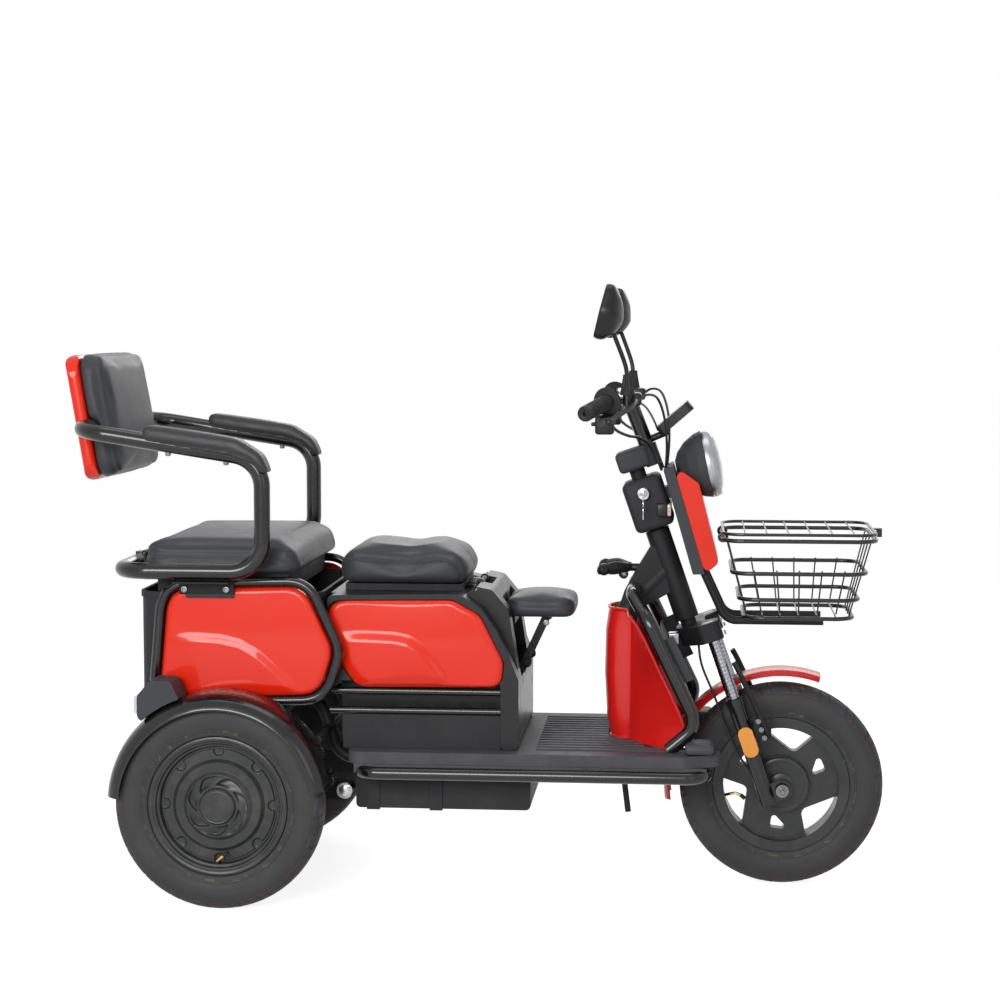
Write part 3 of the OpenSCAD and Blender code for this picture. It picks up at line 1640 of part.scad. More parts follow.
module front_rim() {
    color(plastic_black) place() wheel_place(wheelbase, 0)
        difference() {
            union() {
                difference() {
                    cylinder(h = 2 * rim_half_w, r = bead_r - seat_gap, center = true, $fn = 96);
                    cylinder(h = 2 * rim_half_w + 2 * overrun, r = rim_inner_r, center = true, $fn = 96);
                }
                cylinder(h = 2 * hub_half_w, r = drum_r, center = true);
                translate([0, 0, -web_half_w]) linear_extrude(2 * web_half_w)
                    difference() {
                        circle(r = rim_inner_r + web_bite, $fn = 96);
                        for (i = [0 : web_count - 1]) rotate([0, 0, i * 360 / web_count]) {
                            polygon(rounded(polar_points(window_shares), window_r));
                            polygon(rounded(polar_points(slit_shares), slit_r));
                        }
                    }
            }
            cylinder(h = 4 * rim_half_w, r = axle_r + pin_gap, center = true);
        }
}

// A tyre: a torus cut to its bead
module tyre(x, y) {
    section_r = tyre_w / 2;
    place() wheel_place(x, y)
        difference() {
            rotate_extrude($fn = 96) translate([tyre_r - section_r, 0]) circle(r = section_r);
            cylinder(h = tyre_w + 2 * overrun, r = bead_r, center = true, $fn = 96);
        }
}

module front_tyre() {
    color(rubber_black) tyre(wheelbase, 0);
}

// Rear wheel: a dished disc with a raised ring, a plateau and a centre cap
disc_r = 116;
ring_r = 84;
plateau_r = 62;
cap_r = 37;
disc_t = 8;
disc_at = 8;
ring_rise = 8;
plateau_rise = 14;
cap_rise = 6;
bump_r = 9;
bump_count = 8;

// The revolved section of the wheel, from its axis out to the rim, the outer side up
module rear_rim_section() {
    face = disc_at + disc_t;
    polygon([
        [0, -disc_at], [disc_r, -disc_at], [disc_r, -rim_half_w], [bead_r - seat_gap, -rim_half_w],
        [bead_r - seat_gap, rim_half_w], [disc_r + disc_t, rim_half_w], [disc_r, face],
        [ring_r + ring_rise, face], [ring_r, face + ring_rise], [plateau_r + ring_rise, face + ring_rise],
        [plateau_r, face + plateau_rise], [cap_r, face + plateau_rise],
        [cap_r - cap_rise / 2, face + plateau_rise + cap_rise], [0, face + plateau_rise + cap_rise]
    ]);
}

module rear_rim() {
    difference() {
        union() {
            rotate_extrude($fn = 96) rear_rim_section();
            for (i = [0 : bump_count - 1])
                rotate([0, 0, i * 360 / bump_count])
                    translate([(disc_r + ring_r + ring_rise) / 2, 0, disc_at])
                        cylinder(h = disc_t + bump_r / 2, r = bump_r);
        }
        translate([0, 0, -rim_half_w])
            cylinder(h = rim_half_w + shaft_end + seat_gap, r = shaft_r + pin_gap);
    }
}

module rear_rim_left() {
    color(plastic_black) place() rear_wheel_place() rear_rim();
}

module rear_rim_right() {
    color(plastic_black) place() mirror([0, 1, 0]) rear_wheel_place() rear_rim();
}

module rear_tyre_left() {
    color(rubber_black) tyre(0, half_track);
}

module rear_tyre_right() {
    color(rubber_black) tyre(0, -half_track);
}

main_frame();
head_column();
floorboard();
side_tubes();
battery_box();
leg_shield();
shield_arch();
apron();
seat_box();
seat_mouldings();
front_side_panels();
side_skirts();
side_slot_tubes();
rear_bin();
rear_side_panels();
rear_panel_loops();
seat_hoop();
arm_pads();
backrest_shell();
backrest_cushion();
rear_fenders();
tail_lamp_housings();
tail_lamp_lenses();
rear_axle();
rear_shocks();
child_pad();
child_pad_stay();
child_handle();
brake_arm();
rear_seat_base();
rear_cushion();
saddle_base();
saddle_cushion();
steering_stem();
fork_legs();
fork_reflectors();
front_axle();
front_fender();
handlebar();
grips();
hand_controls();
mirrors();
display();
ignition_box();
panel_back();
front_panel();
headlamp_shell();
headlamp_lens();
basket_bracket();
basket();
basket_wires();
basket_lid();
front_rim();
front_tyre();
rear_rim_left();
rear_rim_right();
rear_tyre_left();
rear_tyre_right();
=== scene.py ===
import json
import math

import bmesh
import bpy
import numpy as np
from mathutils import Matrix, Vector
from mathutils.bvhtree import BVHTree


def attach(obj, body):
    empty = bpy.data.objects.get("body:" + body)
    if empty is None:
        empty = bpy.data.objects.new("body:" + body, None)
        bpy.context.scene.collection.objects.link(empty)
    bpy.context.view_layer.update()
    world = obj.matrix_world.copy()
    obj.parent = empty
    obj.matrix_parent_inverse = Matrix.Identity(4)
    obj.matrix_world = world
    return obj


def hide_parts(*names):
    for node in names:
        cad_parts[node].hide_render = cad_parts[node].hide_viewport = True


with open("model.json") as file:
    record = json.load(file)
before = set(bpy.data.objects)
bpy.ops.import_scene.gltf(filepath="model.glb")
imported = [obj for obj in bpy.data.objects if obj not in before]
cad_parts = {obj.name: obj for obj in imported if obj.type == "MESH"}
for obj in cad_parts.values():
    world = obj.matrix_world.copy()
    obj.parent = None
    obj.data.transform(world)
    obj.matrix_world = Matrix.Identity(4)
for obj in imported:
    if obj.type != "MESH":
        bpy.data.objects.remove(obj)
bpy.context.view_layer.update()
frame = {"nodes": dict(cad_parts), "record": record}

NODES = frame["nodes"]
BODY_OF = {n: b for b, ns in frame["record"]["behaviour"]["bodies"].items() for n in ns}
SCENE = bpy.context.scene
MM = 0.001
# The row frame's origin, in mm forward of the rear axle
MID_X = 480.458


def at(x, y, z):
    """A point given in mm from the rear axle, in the row frame."""
    return Vector(((x - MID_X) * MM, y * MM, z * MM))


def show(name, data):
    """A new object in the scene."""
    ob = bpy.data.objects.new(name, data)
    SCENE.collection.objects.link(ob)
    return ob


# Materials


def lin(r, g, b):
    """A colour written as 0-255 screen values, in linear light."""
    def one(c):
        c /= 255.0
        return c / 12.92 if c <= 0.04045 else ((c + 0.055) / 1.055) ** 2.4
    return (one(r), one(g), one(b), 1.0)


DUST = (0.30, 0.27, 0.22, 1)
SMOOTHEST = 0.02
# Depth of moulded grain and leather pores, in m
GRAIN_HEIGHT = 0.0004


def shade(c, k):
    """A colour made darker or lighter."""
    return (min(c[0] * k, 1), min(c[1] * k, 1), min(c[2] * k, 1), 1.0)


def put(node, values):
    """Set a shader node's own sockets."""
    for name, value in values.items():
        node.inputs[name].default_value = value
    return node


class Graph:
    """A small helper round one material's node tree. A pair is a node and the name of its output."""

    def __init__(self, name, sockets):
        self.mat = bpy.data.materials.new(name)
        self.mat.use_nodes = True
        self.tree = self.mat.node_tree
        self.tree.nodes.clear()
        self.out = self.add("OutputMaterial")
        self.bsdf = put(self.add("BsdfPrincipled"), sockets)
        self.link(self.bsdf, "BSDF", self.out, "Surface")
        self.coord = self.add("TexCoord")

    def add(self, kind, **sets):
        n = self.tree.nodes.new("ShaderNode" + kind)
        for k, v in sets.items():
            setattr(n, k, v)
        return n

    def link(self, a, out, b, inp):
        self.tree.links.new(a.outputs[out], b.inputs[inp])

    def feed(self, node, socket, value):
        """Give a socket a pair or a plain value."""
        if isinstance(value, tuple) and len(value) == 2:
            self.link(*value, node, socket)
        else:
            node.inputs[socket].default_value = value

    def noise(self, scale, detail=3.0, rough=0.55):
        n = put(self.add("TexNoise"), {"Scale": scale, "Detail": detail, "Roughness": rough})
        self.link(self.coord, "Object", n, "Vector")
        return n, "Fac"

    def ramp(self, source, stops):
        r = self.add("ValToRGB")
        for e, (place, colour) in zip(r.color_ramp.elements, stops):
            e.position = place
            e.color = colour if hasattr(colour, "__len__") else (colour, colour, colour, 1)
        self.link(*source, r, "Fac")
        return r, "Color"

    def mottle(self, source, colour, vary):
        """A colour that wanders a share darker and lighter."""
        return self.ramp(source, [(0.3, shade(colour, 1 - vary)), (0.7, shade(colour, 1 + vary))])

    def mix(self, share, a, b):
        """A colour mix of pairs or values."""
        m = self.add("Mix", data_type="RGBA")
        for socket, value in ((0, share), (6, a), (7, b)):
            self.feed(m, socket, value)
        return m, 2

    def maths(self, operation, a, b=0.0):
        m = self.add("Math", operation=operation)
        self.feed(m, 0, a)
        self.feed(m, 1, b)
        return m, "Value"

    def span(self, source, low, high, at_low=0.0, at_high=1.0):
        """A value carried from one range to another."""
        r = put(self.add("MapRange"),
                {"From Min": low, "From Max": high, "To Min": at_low, "To Max": at_high})
        self.link(*source, r, "Value")
        return r, "Result"

    def bump(self, height, strength, distance=GRAIN_HEIGHT, normal=None):
        b = put(self.add("Bump"), {"Strength": strength, "Distance": distance})
        self.link(*height, b, "Height")
        if normal is not None:
            self.link(normal, "Normal", b, "Normal")
        return b

    def finish(self, colour, rough, normal):
        """Join the ends to the surface."""
        self.link(*colour, self.bsdf, "Base Color")
        self.link(*rough, self.bsdf, "Roughness")
        if normal is not None:
            self.link(normal, "Normal", self.bsdf, "Normal")
        return self.mat


def surface(name, colour, rough, metal=0.0, coat=(0.0, 0.04), spec=0.5, vary=0.08, vary_scale=9.0,
            rough_vary=0.06, grain=None, peel=0.0, edge_wear_and_highlight=None, edge=0.0012, dust=0.0):
    """A painted, moulded or plated surface: mottled, uneven in gloss, lighter at the edges (a painted
    highlight broken into worn patches), dusty low down.

    coat is a weight and a roughness, grain a scale and a depth, and the lighter edge mark (wear with a
    painted highlight) a share and a colour.
    """
    g = Graph(name, {"Metallic": metal, "Coat Weight": coat[0], "Coat Roughness": coat[1],
                     "Specular IOR Level": spec})
    last = g.mottle(g.noise(vary_scale, 4.0, 0.6), colour, vary)
    bevel = put(g.add("Bevel", samples=4), {"Radius": edge}) if edge else None
    # Lighter colour along the edges: a painted highlight, broken into patches of wear by the scuff noise.
    if edge_wear_and_highlight:
        dot = g.add("VectorMath", operation="DOT_PRODUCT")
        g.link(bevel, "Normal", dot, 0)
        g.link(g.add("NewGeometry"), "Normal", dot, 1)
        rim = g.ramp((dot, "Value"), [(0.80, 1.0), (0.985, 0.0)])
        scuff = g.ramp(g.noise(55.0, 5.0, 0.7), [(0.42, 0.0), (0.62, 1.0)])
        last = g.mix(g.maths("MULTIPLY", g.maths("MULTIPLY", rim, scuff), edge_wear_and_highlight[0]), last, edge_wear_and_highlight[1])
    if dust:
        place = g.add("SeparateXYZ")
        g.link(g.coord, "Object", place, "Vector")
        low = g.ramp((place, "Z"), [(0.05, 1.0), (0.45, 0.0)])
        patch = g.ramp(g.noise(18.0, 6.0, 0.7), [(0.45, 0.0), (0.75, 1.0)])
        last = g.mix(g.maths("MULTIPLY", g.maths("MULTIPLY", low, patch), dust), last, DUST)
    gloss = g.span(g.noise(40.0, 3.0, 0.6), 0.3, 0.7, max(SMOOTHEST, rough - rough_vary), rough + rough_vary)
    normal = bevel
    if peel:
        normal = g.bump(g.noise(260.0, 2.0, 0.5), peel, normal=normal)
    if grain:
        normal = g.bump(g.noise(grain[0], 2.0, 0.6), grain[1], normal=normal)
    return g.finish(last, gloss, normal)


RED = lin(216, 36, 8)
RED_DEEP = lin(200, 26, 22)
M_RED = surface("red_gloss", RED, 0.32, coat=(0.34, 0.04), spec=0.2, vary=0.02, vary_scale=3.0,
                rough_vary=0.03, edge=0.003)
M_RED_DEEP = surface("red_moulded", RED_DEEP, 0.34, coat=(0.25, 0.09), spec=0.28, vary=0.03, vary_scale=5.0,
                     edge=0.0025, dust=0.04)
M_BLACK = surface("gloss_black", lin(13, 13, 15), 0.26, coat=(0.45, 0.08), spec=0.25, vary=0.15, peel=0.02,
                  edge_wear_and_highlight=(0.2, lin(60, 60, 64)), dust=0.04)
M_FRAME = surface("satin_black", lin(34, 34, 36), 0.46, spec=0.15, vary=0.16, rough_vary=0.08, peel=0.04,
                  edge_wear_and_highlight=(0.3, lin(66, 66, 68)), dust=0.06)
M_PLASTIC = surface("grained_plastic", lin(46, 46, 48), 0.54, spec=0.12, vary=0.10, grain=(1900.0, 0.22),
                    edge_wear_and_highlight=(0.3, lin(66, 66, 68)), dust=0.06)
M_PLASTIC_SMOOTH = surface("smooth_plastic", lin(22, 22, 24), 0.34, spec=0.28, vary=0.10,
                           grain=(2600.0, 0.08), edge_wear_and_highlight=(0.2, lin(60, 60, 62)))
M_PANEL_GREY = surface("grey_plastic", lin(60, 61, 64), 0.54, spec=0.14, grain=(1700.0, 0.3))
M_FLOOR = surface("floor_plastic", lin(72, 72, 76), 0.54, spec=0.14, vary=0.10, grain=(1500.0, 0.3),
                  edge_wear_and_highlight=(0.3, lin(92, 91, 90)), dust=0.12)
M_WHEEL = surface("wheel_black", lin(44, 45, 46), 0.34, spec=0.32, vary=0.10, grain=(900.0, 0.10),
                  edge_wear_and_highlight=(0.4, lin(100, 100, 102)), dust=0.10)
M_RUBBER = surface("plain_rubber", lin(46, 46, 47), 0.66, spec=0.2, vary=0.12, vary_scale=14.0,
                   grain=(1400.0, 0.2), edge=0.0008)
M_GRIP = surface("grip_rubber", lin(34, 34, 35), 0.58, spec=0.22, grain=(1800.0, 0.25), edge=0.0006)
M_CHROME = surface("chrome", (0.44, 0.45, 0.47, 1), 0.14, metal=1.0, vary=0.06, rough_vary=0.05, edge=0.0006)
M_STANCHION = surface("stanchion_chrome", (0.27, 0.28, 0.30, 1), 0.20, metal=1.0, vary=0.10,
                      rough_vary=0.06, edge=0.0)
M_BOLT = surface("bolt_steel", (0.20, 0.20, 0.21, 1), 0.34, metal=1.0, vary=0.2, rough_vary=0.12, edge=0.0004)
M_ZINC = surface("zinc", (0.50, 0.50, 0.51, 1), 0.30, metal=1.0, vary=0.12, rough_vary=0.10, edge=0.0004)
M_SPRING = surface("spring_steel", lin(36, 36, 38), 0.35, metal=0.6, vary=0.15)
M_WIRE = surface("wire_black", lin(18, 18, 20), 0.32, coat=(0.3, 0.1), spec=0.3, vary=0.12, edge=0.0,
                 peel=0.05)
M_FOAM = surface("moulded_pad", lin(44, 44, 46), 0.46, spec=0.28, grain=(1300.0, 0.3), edge=0.0)


def lens(name, colour, trans, rough):
    """Clear or tinted moulded plastic with a slight haze and ripple."""
    g = Graph(name, {"Transmission Weight": trans, "IOR": 1.49, "Coat Weight": 0.5})
    tone = g.mottle(g.noise(14.0), colour, 0.05)
    haze = g.span(g.noise(60.0), 0, 1, max(SMOOTHEST, rough - 0.03), rough + 0.04)
    return g.finish(tone, haze, g.bump(g.noise(420.0, 1.0, 0.4), 0.06))


M_CLEAR = lens("clear_lens", (0.80, 0.82, 0.84, 1), 0.45, 0.10)
M_AMBER = lens("amber_lens", lin(236, 150, 14), 0.15, 0.16)


def leather():
    """Black coated leather: pebbled grain, fine creases, a soft sheen and slightly polished high spots."""
    g = Graph("leather", {"Specular IOR Level": 0.18, "Sheen Weight": 0.05, "Sheen Roughness": 0.4})
    base = lin(60, 61, 65)
    tone = g.mottle(g.noise(7.0, 5.0, 0.62), base, 0.14)
    cell = put(g.add("TexVoronoi", feature="DISTANCE_TO_EDGE"), {"Scale": 620.0})
    g.link(g.coord, "Object", cell, "Vector")
    pit = g.ramp((cell, "Distance"), [(0.0, 0.0), (0.16, 1.0)])
    gloss = g.span(g.noise(22.0, 4.0, 0.6), 0, 1, 0.36, 0.52)
    crease = g.bump(g.noise(90.0, 5.0, 0.65), 0.10, 0.001)
    return g.finish(g.mix(pit, shade(base, 0.72), tone), gloss, g.bump(pit, 0.16, normal=crease))


M_LEATHER = leather()
M_THREAD = surface("thread", lin(62, 63, 66), 0.7, spec=0.2, vary=0.12, vary_scale=200.0, edge=0.0)

# Rings on a tyre: radius and half width in m, colour, patch scale, share left bare
TYRE_MARKS = [
    (0.1920, 0.0007, lin(150, 62, 46), 60.0, 0.52),
    (0.1962, 0.0007, lin(40, 92, 140), 45.0, 0.54),
    (0.1480, 0.0035, lin(122, 116, 84), 60.0, 0.58),
    (0.2050, 0.0050, lin(128, 116, 84), 30.0, 0.60),
]


def tyre_rubber():
    """Tyre rubber: a red and a blue line round the shoulder, dried mud by the rim, scuffs on the tread."""
    g = Graph("tyre_rubber_lined", {"Specular IOR Level": 0.25})
    last = g.mottle(g.noise(14.0, 5.0, 0.6), lin(54, 54, 55), 0.14)
    place = g.add("SeparateXYZ")
    g.link(g.coord, "Object", place, "Vector")
    flat = g.add("CombineXYZ")
    g.link(place, "X", flat, "X")
    g.link(place, "Z", flat, "Y")
    reach = g.add("VectorMath", operation="LENGTH")
    g.link(flat, "Vector", reach, 0)
    for radius, width, colour, scale, bare in TYRE_MARKS:
        off = g.maths("ABSOLUTE", g.maths("SUBTRACT", (reach, "Value"), radius))
        band = g.span(off, width * 0.6, width * 1.4, 0.5, 0.0)
        patch = g.ramp(g.noise(scale, 6.0, 0.7), [(bare - 0.06, 0.0), (bare + 0.06, 1.0)])
        last = g.mix(g.maths("MULTIPLY", band, patch), last, colour)
    gloss = g.span(g.noise(30.0, 4.0, 0.6), 0, 1, 0.50, 0.74)
    return g.finish(last, gloss, g.bump(g.noise(1400.0, 2.0, 0.6), 0.18))


M_TYRE = tyre_rubber()
M_BRASS = surface("brass", (0.62, 0.44, 0.12, 1), 0.3, metal=1.0, vary=0.12, rough_vary=0.1, edge=0.0)
M_SILVER = surface("silver_satin", (0.34, 0.35, 0.37, 1), 0.32, metal=1.0, vary=0.05, rough_vary=0.05,
                   edge=0.0)
M_MIRROR = surface("mirror_glass", (0.72, 0.74, 0.77, 1), 0.04, metal=1.0, vary=0.03, rough_vary=0.02,
                   edge=0.0)
M_CABLE = surface("cable_sleeve", lin(26, 26, 28), 0.38, spec=0.4, vary=0.12, edge=0.0, grain=(900.0, 0.1))
M_BRAID = surface("cable_braid", lin(96, 98, 104), 0.45, metal=0.4, vary=0.4, vary_scale=420.0, edge=0.0,
                  grain=(700.0, 0.5))
M_GLASS = lens("headlamp_glass", (0.62, 0.65, 0.70, 1), 0.70, 0.08)
M_MARKER = lens("marker_lens", (0.86, 0.72, 0.70, 1), 0.5, 0.12)

FINISHES = [
    (M_FRAME, "main_frame head_column rear_axle child_pad_stay brake_arm saddle_base"),
    (M_FRAME, "steering_stem basket_bracket"),
    (M_BLACK, "side_tubes shield_arch side_slot_tubes rear_panel_loops seat_hoop rear_fenders"),
    (M_BLACK, "fork_legs handlebar"),
    (M_PLASTIC, "battery_box side_skirts rear_bin rear_seat_base"),
    (M_PLASTIC_SMOOTH, "seat_box seat_mouldings child_handle hand_controls mirrors display ignition_box"),
    (M_PANEL_GREY, "apron tail_lamp_housings panel_back headlamp_shell"),
    (M_RED, "front_side_panels rear_side_panels backrest_shell front_panel"),
    (M_RED_DEEP, "leg_shield front_fender"),
    (M_LEATHER, "backrest_cushion child_pad rear_cushion saddle_cushion"),
    (M_WHEEL, "front_rim rear_rim_left rear_rim_right"),
    (M_RUBBER, "front_tyre rear_tyre_left rear_tyre_right"),
    (M_WIRE, "basket basket_lid basket_wires"),
    (M_CLEAR, "tail_lamp_lenses headlamp_lens"),
    (M_FLOOR, "floorboard"), (M_FOAM, "arm_pads"), (M_SPRING, "rear_shocks"),
    (M_AMBER, "fork_reflectors"),
    (M_BOLT, "front_axle"), (M_GRIP, "grips"),
]
for material, names in FINISHES:
    for name in names.split():
        NODES[name].data.materials.clear()
        NODES[name].data.materials.append(material)

# Shapes, in mm from the rear axle


def mix(a, b, s):
    """A share of the way from a to b."""
    return a + (b - a) * s


def ease(s):
    """0 below 0, 1 above 1, smooth between."""
    s = np.clip(s, 0.0, 1.0)
    return s * s * (3 - 2 * s)


# Foot of the head tube, and the lean of the steering's axis
STEER_X, STEER_Z = 907, 543
RAKE_DEG = 19
RAKE_COS, RAKE_SIN = 0.9455, 0.3256
FRONT_AXLE_X = 1100
REAR_TYRE_Y = 300
TYRE_R = 206.5


def steer(u, y, w):
    """A point of the steering's own frame: u forward, w up its axis."""
    return Vector((STEER_X + RAKE_COS * u - RAKE_SIN * w, y, STEER_Z + RAKE_SIN * u + RAKE_COS * w))


def smooth_path(points, count):
    """A smooth line of count points through the given ones."""
    p = [Vector(q) for q in points]
    p = [2 * p[0] - p[1]] + p + [2 * p[-1] - p[-2]]
    spans = len(p) - 3
    out = []
    for k in range(count):
        s = k / (count - 1) * spans
        i = min(int(s), spans - 1)
        t = s - i
        a, b, c, d = p[i:i + 4]
        out.append(0.5 * (2 * b + (c - a) * t + (2 * a - 5 * b + 4 * c - d) * t * t
                          + (3 * b - a - 3 * c + d) * t ** 3))
    return out


def round_corners(points, r, steps=8):
    """A closed outline with its corners rounded."""
    out = []
    for i, q in enumerate(points):
        p, a, b = Vector(q), Vector(points[i - 1]), Vector(points[(i + 1) % len(points)])
        u, v = a - p, b - p
        half = max(u.angle(v) / 2, 0.05)
        d = min(r / math.tan(half), 0.46 * u.length, 0.46 * v.length)
        s, e = p + u.normalized() * d, p + v.normalized() * d
        for k in range(steps + 1):
            t = k / steps
            out.append((1 - t) ** 2 * s + 2 * t * (1 - t) * p + t * t * e)
    return out


def run_along(p):
    """The length along a line at each of its points."""
    return np.concatenate([[0], np.cumsum(np.linalg.norm(np.diff(p, axis=0), axis=1))])


def turns(count):
    """Even angles round a circle."""
    return [2 * math.pi * k / count for k in range(count)]


def even_outline(points, count):
    """A closed outline sampled at even steps."""
    p = np.array([tuple(q) for q in points])
    p = np.vstack([p, p[:1]])
    run = run_along(p)
    at_run = np.linspace(0, run[-1], count, endpoint=False)
    return np.column_stack([np.interp(at_run, run, p[:, k]) for k in range(p.shape[1])])


def line_distance(px, pz, line):
    """Distance from points to a line, and on which side: above zero is left of its run."""
    best = np.full(px.shape, 1e9)
    side = np.zeros(px.shape)
    for (ax, az), (bx, bz) in zip(line[:-1], line[1:]):
        dx, dz = bx - ax, bz - az
        t = np.clip(((px - ax) * dx + (pz - az) * dz) / (dx * dx + dz * dz), 0, 1)
        ox, oz = px - ax - t * dx, pz - az - t * dz
        d = np.hypot(ox, oz)
        near = d < best
        best = np.where(near, d, best)
        side = np.where(near, np.sign(dx * oz - dz * ox), side)
    return best, side


class Shape:
    """Points and faces gathered into one mesh."""

    def __init__(self):
        self.points = []
        self.faces = []

    def add(self, points, faces):
        base = len(self.points)
        self.points += [tuple(p) for p in points]
        self.faces += [[base + i for i in f] for f in faces]
        return self

    def grid(self, rows, wrap_rows=False, wrap_cols=False):
        """A sheet of quads through rows of points."""
        n, m = len(rows), len(rows[0])
        faces = []
        for i in range(n if wrap_rows else n - 1):
            for j in range(m if wrap_cols else m - 1):
                a, b, c, d = i * m, (i + 1) % n * m, j, (j + 1) % m
                faces.append((a + c, a + d, b + d, b + c))
        return self.add([p for r in rows for p in r], faces)

    def rings(self, rows):
        """A skin over closed rings, shut at both ends."""
        m = len(rows[0])
        base = len(self.points)
        self.grid(rows, wrap_cols=True)
        last = base + (len(rows) - 1) * m
        self.faces.append([base + i for i in reversed(range(m))])
        self.faces.append([last + i for i in range(m)])
        return self

    def lathe(self, profile, foot, axis, count=28, shut=True):
        """Pairs of radius and height, turned round an axis."""
        axis = Vector(axis).normalized()
        side = axis.orthogonal().normalized()
        up = axis.cross(side)
        rows = []
        for r, h in profile:
            rows.append([Vector(foot) + axis * h + (side * math.cos(a) + up * math.sin(a)) * max(r, 0.02)
                         for a in turns(count)])
        return self.rings(rows) if shut else self.grid(rows, wrap_cols=True)

    def tube(self, path, radius, count=12, flat=1.0):
        """A round or flattened bar along a line; radius may change with the share of the way."""
        path = [Vector(p) for p in path]
        n = len(path)
        rows = []
        side = None
        for i, p in enumerate(path):
            t = (path[min(i + 1, n - 1)] - path[max(i - 1, 0)]).normalized()
            side = t.orthogonal() if side is None else side - t * side.dot(t)
            side.normalize()
            up = t.cross(side)
            r = radius(i / (n - 1)) if callable(radius) else radius
            rows.append([p + side * (r * math.cos(a)) + up * (r * flat * math.sin(a))
                         for a in turns(count)])
        return self.rings(rows)

    def box(self, lo, hi, edge, turn=None):
        """A block with rounded edges, turned about its middle if asked."""
        bm = bmesh.new()
        bmesh.ops.create_cube(bm, size=1.0)
        size = Vector(hi) - Vector(lo)
        middle = (Vector(hi) + Vector(lo)) / 2
        for v in bm.verts:
            v.co = Vector((v.co.x * size.x, v.co.y * size.y, v.co.z * size.z))
        bmesh.ops.bevel(bm, geom=bm.edges[:], offset=edge, segments=3, profile=0.5, affect="EDGES")
        bm.verts.index_update()
        points = [(turn @ v.co if turn else v.co) + middle for v in bm.verts]
        self.add(points, [[v.index for v in f.verts] for f in bm.faces])
        bm.free()
        return self

    def bolt(self, foot, axis, r=5.0, h=5.0):
        """A washer and a hexagon head."""
        self.lathe([(1.55 * r, 0), (1.6 * r, 0.15 * h), (1.5 * r, 0.3 * h)], foot, axis, 24)
        self.lathe([(1.12 * r, 0.25 * h), (1.12 * r, 0.85 * h), (0.92 * r, h)], foot, axis, 6)
        return self

    def screw(self, foot, axis, r=4.5, h=4.0):
        """A socket screw: a domed head with a hexagon hole."""
        return self.lathe([(r, 0), (r, 0.6 * h), (0.85 * r, 0.95 * h), (0.55 * r, h), (0.5 * r, 0.45 * h),
                           (0.1, 0.4 * h)], foot, axis, 18)

    def both(self):
        """The same again on the other side."""
        base = len(self.points)
        self.points += [(x, -y, z) for x, y, z in self.points]
        self.faces += [[base + i for i in reversed(f)] for f in self.faces]
        return self


def settle(ob, body, stands_for=()):
    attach(ob, body)
    if stands_for:
        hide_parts(*stands_for)


def piece(name, shape, material, body, stands_for=(), origin=None, sharp=38):
    """A mesh piece that rides on one body."""
    origin = at(*origin) if origin else at(MID_X, 0, 0)
    me = bpy.data.meshes.new(name)
    me.from_pydata([tuple(at(*p) - origin) for p in shape.points], [], shape.faces)
    me.polygons.foreach_set("use_smooth", [True] * len(me.polygons))
    me.set_sharp_from_angle(angle=math.radians(sharp))
    me.materials.append(material)
    ob = show(name, me)
    ob.location = origin
    bpy.context.view_layer.update()
    settle(ob, body, stands_for)


# Padded pieces


def coords(me, what="co"):
    """The points of a mesh, or their normals."""
    co = np.empty(len(me.vertices) * 3)
    me.vertices.foreach_get(what, co)
    return co.reshape(-1, 3)


def store(me, co):
    me.vertices.foreach_set("co", co.ravel())
    me.update()


def relax(co, edges, times, back=0.0):
    """Evens out a mesh: each point goes half way to the mean of its neighbours, then a share back."""
    count = np.zeros(len(co))
    np.add.at(count, edges[:, 0], 1)
    np.add.at(count, edges[:, 1], 1)
    for step in range(2 * times):
        total = np.zeros_like(co)
        np.add.at(total, edges[:, 0], co[edges[:, 1]])
        np.add.at(total, edges[:, 1], co[edges[:, 0]])
        co = co + (total / count[:, None] - co) * (0.5 if step % 2 == 0 else -back * 0.5)
    return co


SIM_FRAMES = 20
CLOTH = {"quality": 4, "mass": 0.25, "tension_stiffness": 12, "compression_stiffness": 12,
         "shear_stiffness": 6, "bending_stiffness": 0.4, "use_pressure": True, "vertex_group_mass": "held"}
# Passes that even out the swelling, so that the cloth leaves no wrinkles
SWELL_EVEN = 14
# Seam grooves, in mm
SEAM_DEPTH = 3.2
SEAM_WIDTH = 5.0
STITCH_LIFT = 0.5


